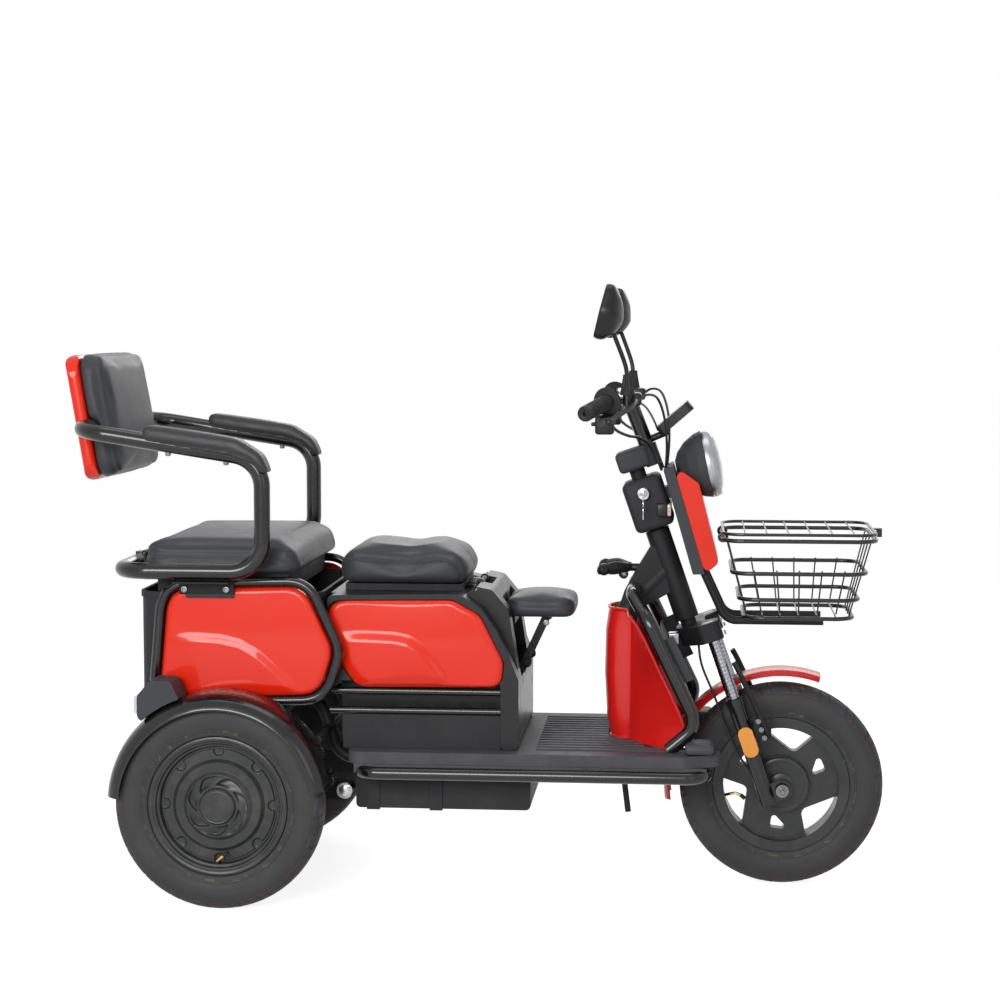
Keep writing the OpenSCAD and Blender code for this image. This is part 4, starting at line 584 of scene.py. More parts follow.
def padded_copy(node, name, voxel, cap, held, soften, seams, shape_by=None, inset=0.5, pressure=4.0,
                material=M_LEATHER):
    """A stuffed copy of a CAD solid: remeshed, blown up as cloth, then drawn in along its seams.

    Sizes are in mm. held tells which points keep still, and shape_by gives a move that forms the
    solid before it swells by up to cap.
    """
    src = NODES[node]
    bm = bmesh.new()
    bm.from_mesh(src.data)
    bm.transform(src.matrix_world)
    bmesh.ops.remove_doubles(bm, verts=bm.verts, dist=1e-5)
    bm.normal_update()
    for v, n in [(v, v.normal.copy()) for v in bm.verts]:
        v.co -= n * inset * MM
    me = bpy.data.meshes.new(name)
    bm.to_mesh(me)
    bm.free()
    ob = show(name, me)
    remesh = ob.modifiers.new("remesh", "REMESH")
    remesh.mode = "VOXEL"
    remesh.voxel_size = voxel * MM
    solid = bpy.data.meshes.new_from_object(ob.evaluated_get(bpy.context.evaluated_depsgraph_get()))
    ob.modifiers.clear()
    ob.data = solid
    edges = np.empty(len(solid.edges) * 2, dtype=np.int64)
    solid.edges.foreach_get("vertices", edges)
    edges = edges.reshape(-1, 2)
    rest = relax(coords(solid), edges, soften)

    def in_mm(co):
        return co[:, 0] / MM + MID_X, co[:, 1] / MM, co[:, 2] / MM

    if shape_by is not None:
        rest = rest + MM * shape_by(*in_mm(rest))
    store(solid, rest)
    group = ob.vertex_groups.new(name="held")
    group.add([int(i) for i in np.flatnonzero(held(*in_mm(rest)))], 1.0, "REPLACE")
    cloth = ob.modifiers.new("cloth", "CLOTH")
    for setting, value in CLOTH.items():
        setattr(cloth.settings, setting, value)
    cloth.settings.uniform_pressure_force = pressure
    cloth.settings.effector_weights.gravity = 0.0
    cloth.collision_settings.use_collision = False
    cloth.point_cache.frame_start = 1
    cloth.point_cache.frame_end = SIM_FRAMES
    for f in range(1, SIM_FRAMES + 1):
        SCENE.frame_set(f)
    blown = coords(ob.evaluated_get(bpy.context.evaluated_depsgraph_get()).data)
    ob.modifiers.remove(cloth)
    ob.vertex_groups.clear()
    SCENE.frame_set(1)
    move = relax(blown - rest, edges, SWELL_EVEN)
    size = np.linalg.norm(move, axis=1)
    rest = rest + move * np.minimum(1, cap * MM / np.maximum(size, 1e-9))[:, None]
    rest = relax(rest, edges, 2, back=0.92)
    store(solid, rest)
    normals = coords(solid, "normal")
    for seam in seams:
        d, mask = seam(*in_mm(rest), normals)
        rest = rest - normals * (SEAM_DEPTH * MM * np.exp(-(d / SEAM_WIDTH) ** 2) * mask)[:, None]
    store(solid, rest)
    solid.polygons.foreach_set("use_smooth", [True] * len(solid.polygons))
    solid.materials.clear()
    solid.materials.append(material)
    finer = ob.modifiers.new("finer", "SUBSURF")
    finer.render_levels = finer.levels = 1
    settle(ob, BODY_OF[node], (node,))
    return ob


def stitches(shape, ob, guide, pitch=7.0, length=4.6, r=0.75, shift=(0, 0, 0)):
    """A row of thread dashes on a soft piece, along a line given near its face."""
    tree = bvh_of(ob)
    p = np.array([tuple(q) for q in guide])
    run = run_along(p)
    for s in np.arange(pitch, run[-1] - pitch, pitch):
        ends = []
        for e in (s - length / 2, s + length / 2):
            q = [np.interp(e, run, p[:, k]) + shift[k] for k in range(3)]
            hit, normal = tree.find_nearest(at(*q))[:2]
            hit = hit + normal * STITCH_LIFT * MM
            ends.append(Vector((hit.x / MM + MID_X, hit.y / MM, hit.z / MM)))
        middle = (ends[0] + ends[1]) / 2
        shape.tube([ends[0], middle, ends[1]], lambda t: r * (0.6 if t in (0, 1) else 1), 5)


def bvh_of(ob):
    me = ob.data
    return BVHTree.FromPolygons([v.co for v in me.vertices], [p.vertices for p in me.polygons])


def side_seam(line, near_y):
    """A seam on both sides, along a line of x and z."""
    def field(x, y, z, normals):
        return line_distance(x, z, line)[0], (np.abs(y) > near_y) & (np.abs(normals[:, 1]) > 0.45)
    return field


# The rear cushion: a flat top, a stitched edge that turns down at the front
REAR_SEAM = [(-176, 690), (40, 689), (84, 684), (118, 671), (140, 652)]
# The saddle: two humps and a dip; its side seam follows them and turns down at the front
SADDLE_SEAM = [(196, 670), (240, 676), (300, 671), (350, 669), (400, 676), (430, 674), (447, 662), (455, 640),
               (457, 616)]
CHILD_SEAM = [(536, 577), (690, 577)]


def swell(distance, half, power=2):
    """1 in the middle, 0 from half on."""
    return 1 - np.clip(np.abs(distance) / half, 0, 1) ** power


def crown(x_mid, half_x, half_y, low, high, rise):
    """A gentle dome added to the upper part of a cushion."""
    def field(x, y, z):
        up = ease((z - low) / (high - low))
        dome = swell(x - x_mid, half_x, 3) * swell(y, half_y)
        return np.column_stack([np.zeros_like(x), np.zeros_like(x), rise * up * dome])
    return field


def saddle_form(x, y, z):
    """The saddle's dome, with its middle dip partly filled."""
    dip = np.exp(-((x - 350) / 34) ** 2) * ease((z - 645) / 25)
    return crown(338, 150, 128, 655, 690, 8)(x, y, z) + np.column_stack([0 * x, 0 * x, 5 * dip])


def rear_edge(x, y, z, normals):
    return np.abs(z - 690), (x < -150) & (normals[:, 0] < -0.45)


rear_cushion = padded_copy(
    "rear_cushion", "rear_cushion_pad", voxel=6.0, cap=7.0, held=lambda x, y, z: z < 660, soften=9,
    seams=[side_seam(REAR_SEAM, 226), rear_edge], shape_by=crown(0, 170, 250, 680, 708, 7))
saddle_cushion = padded_copy(
    "saddle_cushion", "saddle_pad", voxel=5.0, cap=7.0, held=lambda x, y, z: z < 628, soften=22,
    seams=[side_seam(SADDLE_SEAM, 100)], shape_by=saddle_form)
padded_copy(
    "child_pad", "child_pad_pad", voxel=4.5, cap=5.0, held=lambda x, y, z: z < 555, soften=9,
    seams=[side_seam(CHILD_SEAM, 70)], shape_by=crown(611, 75, 92, 570, 590, 5))

LEAN = math.radians(9.5)
# Foot of the backrest's pad
BACK_X, BACK_Z = -226, 838


def lean_local(x, z):
    """Backrest coordinates: across its thickness and up its height."""
    dx, dz = x - BACK_X, z - BACK_Z
    return dx * math.cos(LEAN) + dz * math.sin(LEAN), -dx * math.sin(LEAN) + dz * math.cos(LEAN)


def lean_point(a, y, h):
    return (BACK_X + a * math.cos(LEAN) - h * math.sin(LEAN), y,
            BACK_Z + a * math.sin(LEAN) + h * math.cos(LEAN))


BACK_SEAM_X = -11.0
# The front face's rise, and the depth over which it fades
BACK_RISE, BACK_FADE = 10, 25


def back_seam(x, y, z, normals):
    a, h = lean_local(x, z)
    facing = normals[:, 0] * math.cos(LEAN) + normals[:, 2] * math.sin(LEAN)
    return np.abs(a - BACK_SEAM_X), np.abs(facing) < 0.75


def back_crown(x, y, z):
    a, h = lean_local(x, z)
    front = ease((a + BACK_FADE) / BACK_FADE)
    push = BACK_RISE * front * (swell(y, 182) * swell(h - 127, 132))
    return np.column_stack([push * math.cos(LEAN), np.zeros_like(x), push * math.sin(LEAN)])


backrest_cushion = padded_copy(
    "backrest_cushion", "backrest_pad", voxel=6.0, cap=5.0, held=lambda x, y, z: lean_local(x, z)[0] < -38,
    soften=7, seams=[back_seam], shape_by=back_crown)
ARM_LINE = [(-148, 917), (-60, 908), (20, 898), (62, 884), (92, 858)]
# The arm pads' parting line is finer than a seam
ARM_FINER = 1.8


def arm_seam(x, y, z, normals):
    return ARM_FINER * line_distance(x, z, ARM_LINE)[0], np.abs(normals[:, 1]) > 0.5


padded_copy("arm_pads", "arm_rest_pads", voxel=5.0, cap=3.0, held=lambda x, y, z: z < 870, soften=12,
            seams=[arm_seam], inset=0.0, pressure=1.5, material=M_FOAM)

SADDLE_TWIN = 3.4
REAR_DROP = 4
saddle_thread, rear_thread, back_thread = Shape(), Shape(), Shape()
for sign in (-1, 1):
    for up in (SADDLE_TWIN, -SADDLE_TWIN):
        stitches(saddle_thread, saddle_cushion, [(x, sign * 140, z) for x, z in SADDLE_SEAM],
                 shift=(0, 0, up))
    stitches(rear_thread, rear_cushion, [(x, sign * 260, z - REAR_DROP) for x, z in REAR_SEAM])
    back_line = [lean_point(BACK_SEAM_X - 4, sign * 190, h) for h in range(40, 226, 6)]
    stitches(back_thread, backrest_cushion, back_line)
for name, thread, body in (("saddle_stitches", saddle_thread, "saddle"),
                           ("rear_cushion_stitches", rear_thread, "rear_seat"),
                           ("backrest_stitches", back_thread, "chassis")):
    piece(name, thread, M_THREAD, body)

# Tyres: revolved, with sipes on the shoulders, grooves on the tread and ribs on the side walls
TYRE_HALF = [(206.5, 0), (206.4, 6), (206.0, 12), (205.0, 18), (203.0, 24), (199.6, 29.5), (195.0, 34.0),
             (189.6, 37.2), (188.4, 37.2), (187.6, 38.4), (180, 40.4), (172, 41.0), (163, 40.3),
             (156, 38.6), (152, 37.2), (151, 38.2), (148, 37.4), (147, 36.0), (142, 34.0), (139.5, 33.2),
             (138.0, 30.0)]
TYRE_STEPS = 480
# Sipes: half width and slant as shares of the pitch, and where they start
SIPE_COUNT = 60
SIPE_HALF, SIPE_SLANT = 0.075, 0.022
SIPE_FROM_Y, SIPE_FROM_R = 15, 191
GROOVE_Y, GROOVE_SWAY, GROOVE_HALF = 9.5, 1.2, 1.5
SIPE_DEPTH, GROOVE_DEPTH = 2.6, 2.8
TREAD_R = 200


def tyre_shape(cx, cy):
    """A tyre's skin with its sipes and grooves pressed in."""
    half = np.array(TYRE_HALF)
    run = run_along(half)
    at_run = np.unique(np.concatenate([np.arange(0, 42, 2.0), np.linspace(42, run[-1], 12), run]))
    r = np.interp(at_run, run, half[:, 0])
    y = np.interp(at_run, run, half[:, 1])
    r = np.concatenate([r[:0:-1], r])
    y = np.concatenate([-y[:0:-1], y])
    r, y = r[::-1], y[::-1]
    angle = np.array(turns(TYRE_STEPS))
    ag, yg = np.meshgrid(angle, y, indexing="ij")
    rg = np.broadcast_to(r, ag.shape)
    wide = np.abs(yg)
    beat = ag * SIPE_COUNT / (2 * math.pi) + np.sign(yg) * 0.25 + wide * SIPE_SLANT
    sipe = (np.abs((beat % 1) - 0.5) < SIPE_HALF) & (wide > SIPE_FROM_Y) & (rg > SIPE_FROM_R)
    every = (np.floor(beat) % 3) > 0
    groove = np.abs(wide - GROOVE_Y - GROOVE_SWAY * np.sin(ag * SIPE_COUNT / 2)) < GROOVE_HALF
    cut = SIPE_DEPTH * (sipe & every) + GROOVE_DEPTH * (groove & (rg > TREAD_R))
    rr = rg - cut
    rows = []
    for i in range(TYRE_STEPS):
        ca, sa = math.cos(angle[i]), math.sin(angle[i])
        rows.append([(cx + rr[i, k] * ca, cy + yg[i, k], TYRE_R + rr[i, k] * sa) for k in range(len(y))])
    return Shape().grid(rows, wrap_rows=True)


for node, cx, cy in (("front_tyre", FRONT_AXLE_X, 0), ("rear_tyre_left", 0, REAR_TYRE_Y),
                     ("rear_tyre_right", 0, -REAR_TYRE_Y)):
    piece(node + "_tread", tyre_shape(cx, cy), M_TYRE, BODY_OF[node], (node,), (cx, cy, TYRE_R), 55)

# Fenders: a rounded crown, a skirt and a turned-in lip, swept round each wheel
REAR_GUARD = [(216, -43), (219.6, -45), (221.4, -42), (222.2, -25), (222.4, -4), (221.6, 14), (219.4, 27),
              (215.6, 37.5), (210, 45.5), (203, 51), (197, 54), (192.6, 55.4), (190.8, 54.6), (191.4, 52.6),
              (196, 50.8), (203, 47), (209, 41), (213.4, 33), (216.4, 22), (217.6, 8), (217.8, -10),
              (217.4, -30)]
FRONT_OUTER = [(225.2, 46.6), (227.2, 47.4), (229.2, 45.4), (232.6, 40), (236, 32), (238.2, 20), (239, 7)]
FRONT_INNER = [(228, 42), (232, 34), (234.6, 22), (235.6, 8)]
FRONT_GUARD = [(r, -y) for r, y in FRONT_OUTER] + FRONT_OUTER[::-1]
FRONT_GUARD += FRONT_INNER + [(r, -y) for r, y in FRONT_INNER[::-1]]
GUARD_STEPS = 110


def guard_shape(section, cx, cy, start, sweep):
    """A section of radius and offset, swept by degrees about a wheel's axle."""
    ring = even_outline(section, 90)
    rows = []
    for k in range(GUARD_STEPS + 1):
        a = math.radians(start + sweep * k / GUARD_STEPS)
        rows.append([(cx + r * math.cos(a), cy - y, TYRE_R + r * math.sin(a)) for r, y in ring])
    return Shape().rings(rows)


rear_guards = guard_shape(REAR_GUARD, 0, -REAR_TYRE_Y, start=9.5, sweep=166).both()
piece("rear_fenders_formed", rear_guards, M_BLACK, "chassis", ("rear_fenders",), sharp=50)
front_guard = Shape().box((988, 44, 372), (1012, 58, 412), 2.0).both()
front_bend = guard_shape(FRONT_GUARD, FRONT_AXLE_X, 0, start=71, sweep=117)
front_guard.add(front_bend.points, front_bend.faces)
piece("front_fender_formed", front_guard, M_RED_DEEP, "steering", ("front_fender",), sharp=50)

# Rear wheels: a pressed disc with scallops, a bladed hub cover and a stepped rim
RIM_FACE = [(0, 36.5), (29, 36.5), (31, 35.4), (33, 36), (37, 30), (61, 30), (68, 24), (84, 24), (91, 16),
            (109.5, 16), (111, 12), (114, 12), (117, 22), (121, 24), (124, 29), (126.5, 29.4), (129, 32),
            (133, 33.2), (136.8, 32), (137.7, 24)]
RIM_BACK = [(137.7, 24), (137.7, -32), (118, -32), (114, -8), (24, -8)]
BLADES, BLADE_DEPTH = 7, 6.5
BLADE_IN, BLADE_OUT = 40, 56
SCALLOPS, SCALLOP_DEPTH = 8, 5.0
SCALLOP_AT, SCALLOP_R, DISC_R = 106, 8, 110.5
RIM_STEPS = 240


def rear_rim_shape(cy, out):
    """A wheel's outer face with its blades and scallops, and the rim behind it."""
    face = np.array(RIM_FACE)
    r = np.unique(np.concatenate([np.arange(0, 138, 1.5), face[:, 0]]))
    angle = np.array(turns(RIM_STEPS))
    ag, rg = np.meshgrid(angle, r, indexing="ij")
    h = np.interp(rg, face[:, 0], face[:, 1])
    turn = (ag * BLADES / (2 * math.pi) + 0.030 * (rg - 38)) % 1
    blade = (ease((rg - BLADE_IN) / 3) - ease((rg - BLADE_OUT) / 4)) * BLADE_DEPTH
    blade = blade * ease(turn / 0.82) * (1 - ease((turn - 0.86) / 0.1))
    near = (ag * SCALLOPS / (2 * math.pi) + 0.5) % 1 - 0.5
    arc = near * 2 * math.pi / SCALLOPS * 104
    dish = SCALLOP_DEPTH * (1 - ease((np.hypot(arc, rg - SCALLOP_AT) - SCALLOP_R) / 2.5)) * (rg < DISC_R)
    h = h - blade - dish
    rows = [[(rg[i, k] * math.cos(angle[i]), cy + out * h[i, k], TYRE_R + rg[i, k] * math.sin(angle[i]))
             for k in range(len(r))] for i in range(RIM_STEPS)]
    s = Shape().grid(rows, wrap_rows=True)
    if out > 0:
        s.faces = [f[::-1] for f in s.faces]
    return s.lathe(RIM_BACK[::-1], (0, cy, TYRE_R), (0, out, 0), 96, False)


def valve(name, body, stem, cap, grommet=None):
    """A bent valve stem with its cap, and the grommet it leaves the rim by."""
    piece(name + "_valve", Shape().tube(smooth_path(stem, 14), 3.0, 12), M_BRASS, body)
    rubber = Shape().tube(cap, 4.2, 14)
    if grommet:
        rubber.lathe([(6.5, 0), (6.5, 4), (4.2, 9)], *grommet, 18)
    piece(name + "_valve_cap", rubber, M_GRIP, body)


REAR_STEM = [(-4, 14, 94), (-3, 28, 97), (4, 34, 104), (13, 35, 111)]
REAR_CAP = [(11.5, 35, 109.8), (13, 35, 111), (21, 35.4, 117.4)]
for node, cy, out in (("rear_rim_left", REAR_TYRE_Y, 1), ("rear_rim_right", -REAR_TYRE_Y, -1)):
    piece(node + "_disc", rear_rim_shape(cy, out), M_WHEEL, BODY_OF[node], (node,),
          (0, cy, TYRE_R), 32)
    stem, cap = ([(x, cy + out * y, z) for x, y, z in line] for line in (REAR_STEM, REAR_CAP))
    valve(node, BODY_OF[node], stem, cap, ((-4, cy + out * 10, 94), (0, out, 0)))
valve("front", "front_wheel", [(988, -12, 180), (996, -22, 184), (1008, -27, 187), (1020, -27, 182)],
      [(1018, -27, 183.2), (1020, -27, 182), (1027, -26.6, 176)])
DRUM_LIP = [(47, 33), (47, 35.4), (52.5, 36.2), (55.6, 34.8), (56.4, 31)]
DRUM_NOSE = [(24, 33), (24, 35.5), (17, 37.5), (9, 38)]
drum = Shape()
for out in (-1, 1):
    for profile, count in ((DRUM_LIP, 72), (DRUM_NOSE, 48)):
        drum.lathe(profile, (FRONT_AXLE_X, 0, TYRE_R), (0, out, 0), count)
piece("front_drum_lips", drum, M_WHEEL, "front_wheel")

# Side panels: domed, with a rolled edge and a swept step across them
PANEL_AROUND = 220
PANEL_RINGS = 52
ROLL_WIDTH, ROLL_DEPTH = 11, 9


def panel_shape(shares, x, z, l, h, outer, thick, corner, step, step_w, step_h, dome):
    """One right-hand panel; the step runs along a line of shares and the part under it stands out."""
    line = [(x + s * l, z + t * h) for s, t in step]
    edge = even_outline(round_corners([(x + s * l, z + t * h) for s, t in shares], corner), PANEL_AROUND)
    middle = np.array([x + 0.5 * l, z + 0.5 * h])
    reach = np.linalg.norm(edge - middle, axis=1)
    rows = [[(p[0], -(outer - thick), p[1]) for p in edge]]
    for k in range(PANEL_RINGS + 1):
        s = 1 - (k / PANEL_RINGS) ** 1.5
        q = middle + (edge - middle) * max(s, 0.002)
        d = (1 - s) * reach * 0.86
        roll = np.clip(d / ROLL_WIDTH, 0, 1)
        out = outer - ROLL_DEPTH + ROLL_DEPTH * np.sqrt(1 - (1 - roll) ** 2)
        nx, nz = (q[:, 0] - middle[0]) / (0.5 * l), (q[:, 1] - middle[1]) / (0.5 * h)
        out = out + dome * np.clip(1 - nx ** 2, 0, 1) * np.clip(1 - nz ** 2, 0, 1)
        gap, side = line_distance(q[:, 0], q[:, 1], line)
        below = 1 - ease(gap * side / step_w + 0.5)
        out = out + step_h * below * ease(d / 26) * ease((q[:, 0] - x) / (0.22 * l))
        rows.append([(a, -o, b) for (a, b), o in zip(q, out)])
    s = Shape().grid(rows[::-1], wrap_cols=True)
    s.faces.append(list(range(PANEL_AROUND))[::-1])
    return s


REAR_PANEL = [(0.05, 0.98), (0.832, 1), (1, 0.442), (0.92, 0.053), (0.009, 0), (0, 0.177)]
REAR_STEP = [(-0.2, 0.55), (0.2, 0.555), (0.36, 0.54), (0.47, 0.5), (0.57, 0.41), (0.66, 0.29),
             (0.76, 0.14), (0.9, -0.1)]
FRONT_PANEL = [(0, 0.98), (0.72, 1), (0.87, 0.83), (1, 0.3), (0.985, 0.02), (0.19, 0), (0.085, 0.3)]
FRONT_STEP = [(-0.1, 0.58), (0.25, 0.585), (0.4, 0.575), (0.48, 0.54), (0.54, 0.46), (0.6, 0.32),
              (0.65, 0.18), (0.72, -0.1)]
REAR_X, REAR_Z, REAR_L, REAR_H = -133, 400, 346, 226
rear_panel = panel_shape(REAR_PANEL, REAR_X, REAR_Z, REAR_L, REAR_H, outer=238, thick=14, corner=56,
                         step=REAR_STEP, step_w=24, step_h=5.5, dome=3)
front_panel = panel_shape(FRONT_PANEL, 187, 423, 361, 176, outer=205, thick=22, corner=42,
                          step=FRONT_STEP, step_w=27, step_h=7.5, dome=4)
for end, panel in (("rear", rear_panel), ("front", front_panel)):
    piece(end + "_panels_formed", panel.both(), M_RED, "chassis", (end + "_side_panels",),
          sharp=60)

# Loops round the rear panels
LOOP_Y = 233
LOOP_OUT = 13.5
LOOP_R = 9.6
loop_mid = np.array([40, 513])
loop = []
for q in round_corners([(REAR_X + a * REAR_L, REAR_Z + b * REAR_H) for a, b in REAR_PANEL], 58):
    reach = np.array(q) - loop_mid
    loop.append(loop_mid + reach * (1 + LOOP_OUT / np.linalg.norm(reach)))
ring = [(a, LOOP_Y, b) for a, b in even_outline(loop, 240)]
piece("rear_panel_hoops", Shape().tube(ring + ring[:2], LOOP_R, 16).both(), M_BLACK, "chassis",
      ("rear_panel_loops",))

# Grips: ribbed rubber with a flange inboard and a hole in the end
GRIP_END = Vector((712, 330, 972))
BAR_IN = (Vector((760, 190, 997)) - GRIP_END).normalized()
grip = [(4.5, 9), (4.5, 1.5), (11.5, 0), (14.6, 1.6), (15.4, 5), (15.2, 9)]
for k in range(17):
    h = 11 + 6 * k
    grip += [(13.6, h), (13.6, h + 1.4), (15.1, h + 2.2), (15.3, h + 4.6)]
grip += [(14.6, 114), (15.6, 117), (22, 118), (27.6, 119), (28.2, 121.5), (27.4, 123.6), (16, 124),
         (11.6, 124)]
piece("grip_rubbers", Shape().lathe(grip, GRIP_END, BAR_IN, 56).both(), M_GRIP, "steering", ("grips",))

# Headlamp: a silver bezel, a clear lens and a ribbed reflector behind it
LAMP_AXIS = Vector((math.cos(math.radians(12)), 0, math.sin(math.radians(12))))
LAMP_FOOT = Vector((884, 0, 846)) + LAMP_AXIS * 62.3
bezel = [(58, 0), (68.6, 0), (69.6, 2.5), (69.2, 9), (67.4, 15), (64.6, 18.6), (62.4, 19.2), (61.4, 17.2),
         (60, 6)]
piece("headlamp_bezel", Shape().lathe(bezel, LAMP_FOOT, LAMP_AXIS, 80, False), M_SILVER, "steering",
      ("headlamp_lens",))
dome = [(61.2, 12.5)]
dome += [(61.2 * math.cos(a), 15.5 + 14.0 * math.sin(a)) for a in np.linspace(0.12, math.pi / 2, 16)]
piece("headlamp_glass", Shape().lathe(dome, LAMP_FOOT, LAMP_AXIS, 72), M_GLASS, "steering", ())
bowl = [(60, 11)] + [(r, 2.5 + 8.5 * (r / 60) ** 2 + 0.8 * (int(r / 5) % 2)) for r in np.arange(58, 14, -2.5)]
bowl += [(13, 3), (12, 9), (8, 12), (1, 13)]
piece("headlamp_reflector", Shape().lathe(bowl, LAMP_FOOT, LAMP_AXIS, 72), M_SILVER, "steering")

# Mirrors: a domed head with glass set in its rear face, a stem and a fluted boot
MIRROR_FOOT = Vector((726, 236, 1115))
MIRROR_W, MIRROR_H = 120, 108
MIRROR_TILT = Matrix.Rotation(math.radians(14.5), 3, "Y")
MIRROR_FACE = [(0.22, 0), (0.78, 0), (1, 0.5), (0.86, 1), (0.2, 1), (0, 0.56)]
face = even_outline(round_corners([((s - 0.5) * MIRROR_W, t * MIRROR_H) for s, t in MIRROR_FACE], 24), 96)
middle = face.mean(axis=0)


def mirror_points(q, depths):
    """Points of the face's plane, each at its depth, in the tilted mirror."""
    return [MIRROR_FOOT + MIRROR_TILT @ Vector((d, a, b)) for (a, b), d in zip(q, depths)]


def mirror_ring(grow, depth):
    """The face's outline, grown or shrunk, at one depth."""
    reach = np.linalg.norm(face - middle, axis=1)[:, None]
    q = middle + (face - middle) * (1 + grow / reach)
    return mirror_points(q, [depth] * len(q))


glass = Shape().rings([mirror_ring(-7, 1.0), mirror_ring(-7, -0.9), mirror_ring(-8, -1.2)]).both()
piece("mirror_glasses", glass, M_MIRROR, "steering")
HEAD_DEPTH = 46.0
HEAD_RIM = 12
HEAD_HEIGHTS = [0, 0.17, 0.42, 0.76, 1]
HEAD_SHARES = [0.62, 0.9, 1.0, 0.74, 0.4]


def mirror_dome(share):
    """One ring of the head's domed back, drawn in towards its middle."""
    q = middle + (face - middle) * share
    bulge = np.interp(q[:, 1] / MIRROR_H, HEAD_HEIGHTS, HEAD_SHARES) * (1 - share ** 2.3) ** 0.6
    deep = HEAD_RIM + (HEAD_DEPTH - HEAD_RIM) * bulge
    return mirror_points(q, deep)


HEAD_EDGE = [(-7, 0.6), (-7, -1.0), (-5, -2.2), (-2, -1.6), (-0.4, 1.5), (0.4, 7)]
head = [mirror_ring(grow, depth) for grow, depth in HEAD_EDGE]
HEAD_RINGS = (1.0, 0.995, 0.98, 0.95, 0.9, 0.82, 0.72, 0.6, 0.45, 0.3, 0.15, 0.02)
head += [mirror_dome(share) for share in HEAD_RINGS]
stems = Shape().rings(head[::-1])
stems.tube(smooth_path([(789, 203, 1034), (785, 206, 1062), (770, 219, 1104), (752, 234, 1150)], 16), 4.4, 14)
piece("mirror_heads", stems.both(), M_PLASTIC_SMOOTH, "steering", ("mirrors",), sharp=50)
FLUTES = 9
FLUTE_DEPTH = 1.3
BOOT_X, BOOT_Y, BOOT_Z, BOOT_H = 789, 203, 1004, 40
boot = []
for share in np.linspace(0, 1, 9):
    row = []
    for a in turns(72):
        r = mix(14.5, 8.6, ease(share) * 0.6 + share * 0.4)
        if 0.15 < share < 0.95:
            r -= FLUTE_DEPTH * (0.5 + 0.5 * math.cos(FLUTES * a))
        row.append((BOOT_X + r * math.cos(a), BOOT_Y + r * math.sin(a), BOOT_Z + BOOT_H * share))
    boot.append(row)
piece("mirror_boots", Shape().rings(boot).both(), M_GRIP, "steering")

# Fork: chrome stanchions with a rolled spiral, fender stays and their bolts
STANCHION_U, STANCHION_Y, STANCHION_R = 40, 77, 13.0
STANCHION_LOW, STANCHION_H = -174, 124
SPIRAL_PITCH, SPIRAL_DEPTH = 8.0, 0.22
SPIRAL_RINGS = 84
rows = []
for k in range(SPIRAL_RINGS):
    w = STANCHION_LOW + STANCHION_H * k / (SPIRAL_RINGS - 1)
    row = []
    for a in turns(48):
        r = STANCHION_R + SPIRAL_DEPTH * math.tanh(3 * math.sin(2 * math.pi * (w / SPIRAL_PITCH) + a))
        row.append(steer(STANCHION_U + r * math.cos(a), STANCHION_Y + r * math.sin(a), w))
    rows.append(row)
piece("stanchion_sleeves", Shape().rings(rows).both(), M_STANCHION, "steering", sharp=60)
stay = Shape()
stay.tube(smooth_path([(1001, 88, 466), (1012, 91, 446), (1036, 92, 396), (1056, 91, 352), (1071, 89, 320)],
                      24), lambda t: 6.2 if t < 0.7 else 7.4, 14, 0.75)
stay.box(steer(52, 82, -262), steer(52, 82, -262) + Vector((36, 6, 40)), 2.0)
piece("fender_stays", stay.both(), M_FRAME, "steering")

AXLE_END_Y = 93.4
hardware = Shape()
for x, z in ((1050.8, 347.6), (1057, 331), (1063.5, 314.6)):
    hardware.bolt((x, 96, z), (0, 1, 0), 3.4, 4.2)
for w in (-18, -44):
    hardware.screw(steer(64, 60, w), (RAKE_COS, 0, RAKE_SIN))
hardware.both()
for out in (-1, 1):
    hardware.bolt((FRONT_AXLE_X, out * AXLE_END_Y, TYRE_R), (0, out, 0), 8.4, 8)
    hardware.lathe([(5.4, 6), (5.4, 13), (4.4, 14.4)], (FRONT_AXLE_X, out * AXLE_END_Y, TYRE_R),
                   (0, out, 0), 18)
piece("fork_bolts", hardware, M_BOLT, "steering")

# Handlebar: covers of the stem and the ignition, levers, the key and its ring, and the side markers
RAKE = Matrix.Rotation(math.radians(-RAKE_DEG), 3, "Y")


def raked_box(shape, lo, hi, edge):
    """A rounded block in the steering's own frame."""
    size = Vector(hi) - Vector(lo)
    middle = steer(*((Vector(lo) + Vector(hi)) / 2))
    return shape.box(middle - size / 2, middle + size / 2, edge, RAKE)


piece("stem_cover", raked_box(Shape(), (-33, -40, 322), (34, 40, 365), 9.0), M_PANEL_GREY, "steering")
piece("ignition_cover", raked_box(Shape(), (-39, -59, 197), (42, 59, 303), 12.0), M_PLASTIC, "steering",
      ("ignition_box",))
LEVER = [(792, 176, 996), (803, 200, 992), (799, 238, 983), (780, 280, 970), (758, 322, 957)]
blades = Shape().tube(smooth_path(LEVER, 28), lambda t: 8.5 - 3.2 * t + 2.2 * (t > 0.96), 14, 0.62)
blades.box((786, 146, 983), (816, 188, 1008), 5.0)
blades.box((727, 194, 928), (764, 228, 966), 6.0)
blades.box((719, 200, 944), (729, 216, 952), 3.0)
piece("lever_sets", blades.both(), M_PLASTIC_SMOOTH, "steering")
key_at = steer(0, -65, 272.9)
key = Shape().lathe([(12.6, -1), (12.9, 4), (11, 6.5), (6, 7), (5.6, 4), (0.1, 4)], key_at, (0, -1, 0), 36)
key.box(key_at + Vector((-1.4, -26, -9)), key_at + Vector((1.4, -5, 9)), 1.0)
key.tube([key_at + Vector((0.4 * math.sin(a), -21 + 9 * math.sin(a), -18 + 10 * math.cos(a)))
          for a in np.linspace(0, 2 * math.pi, 37)], 0.9, 8)
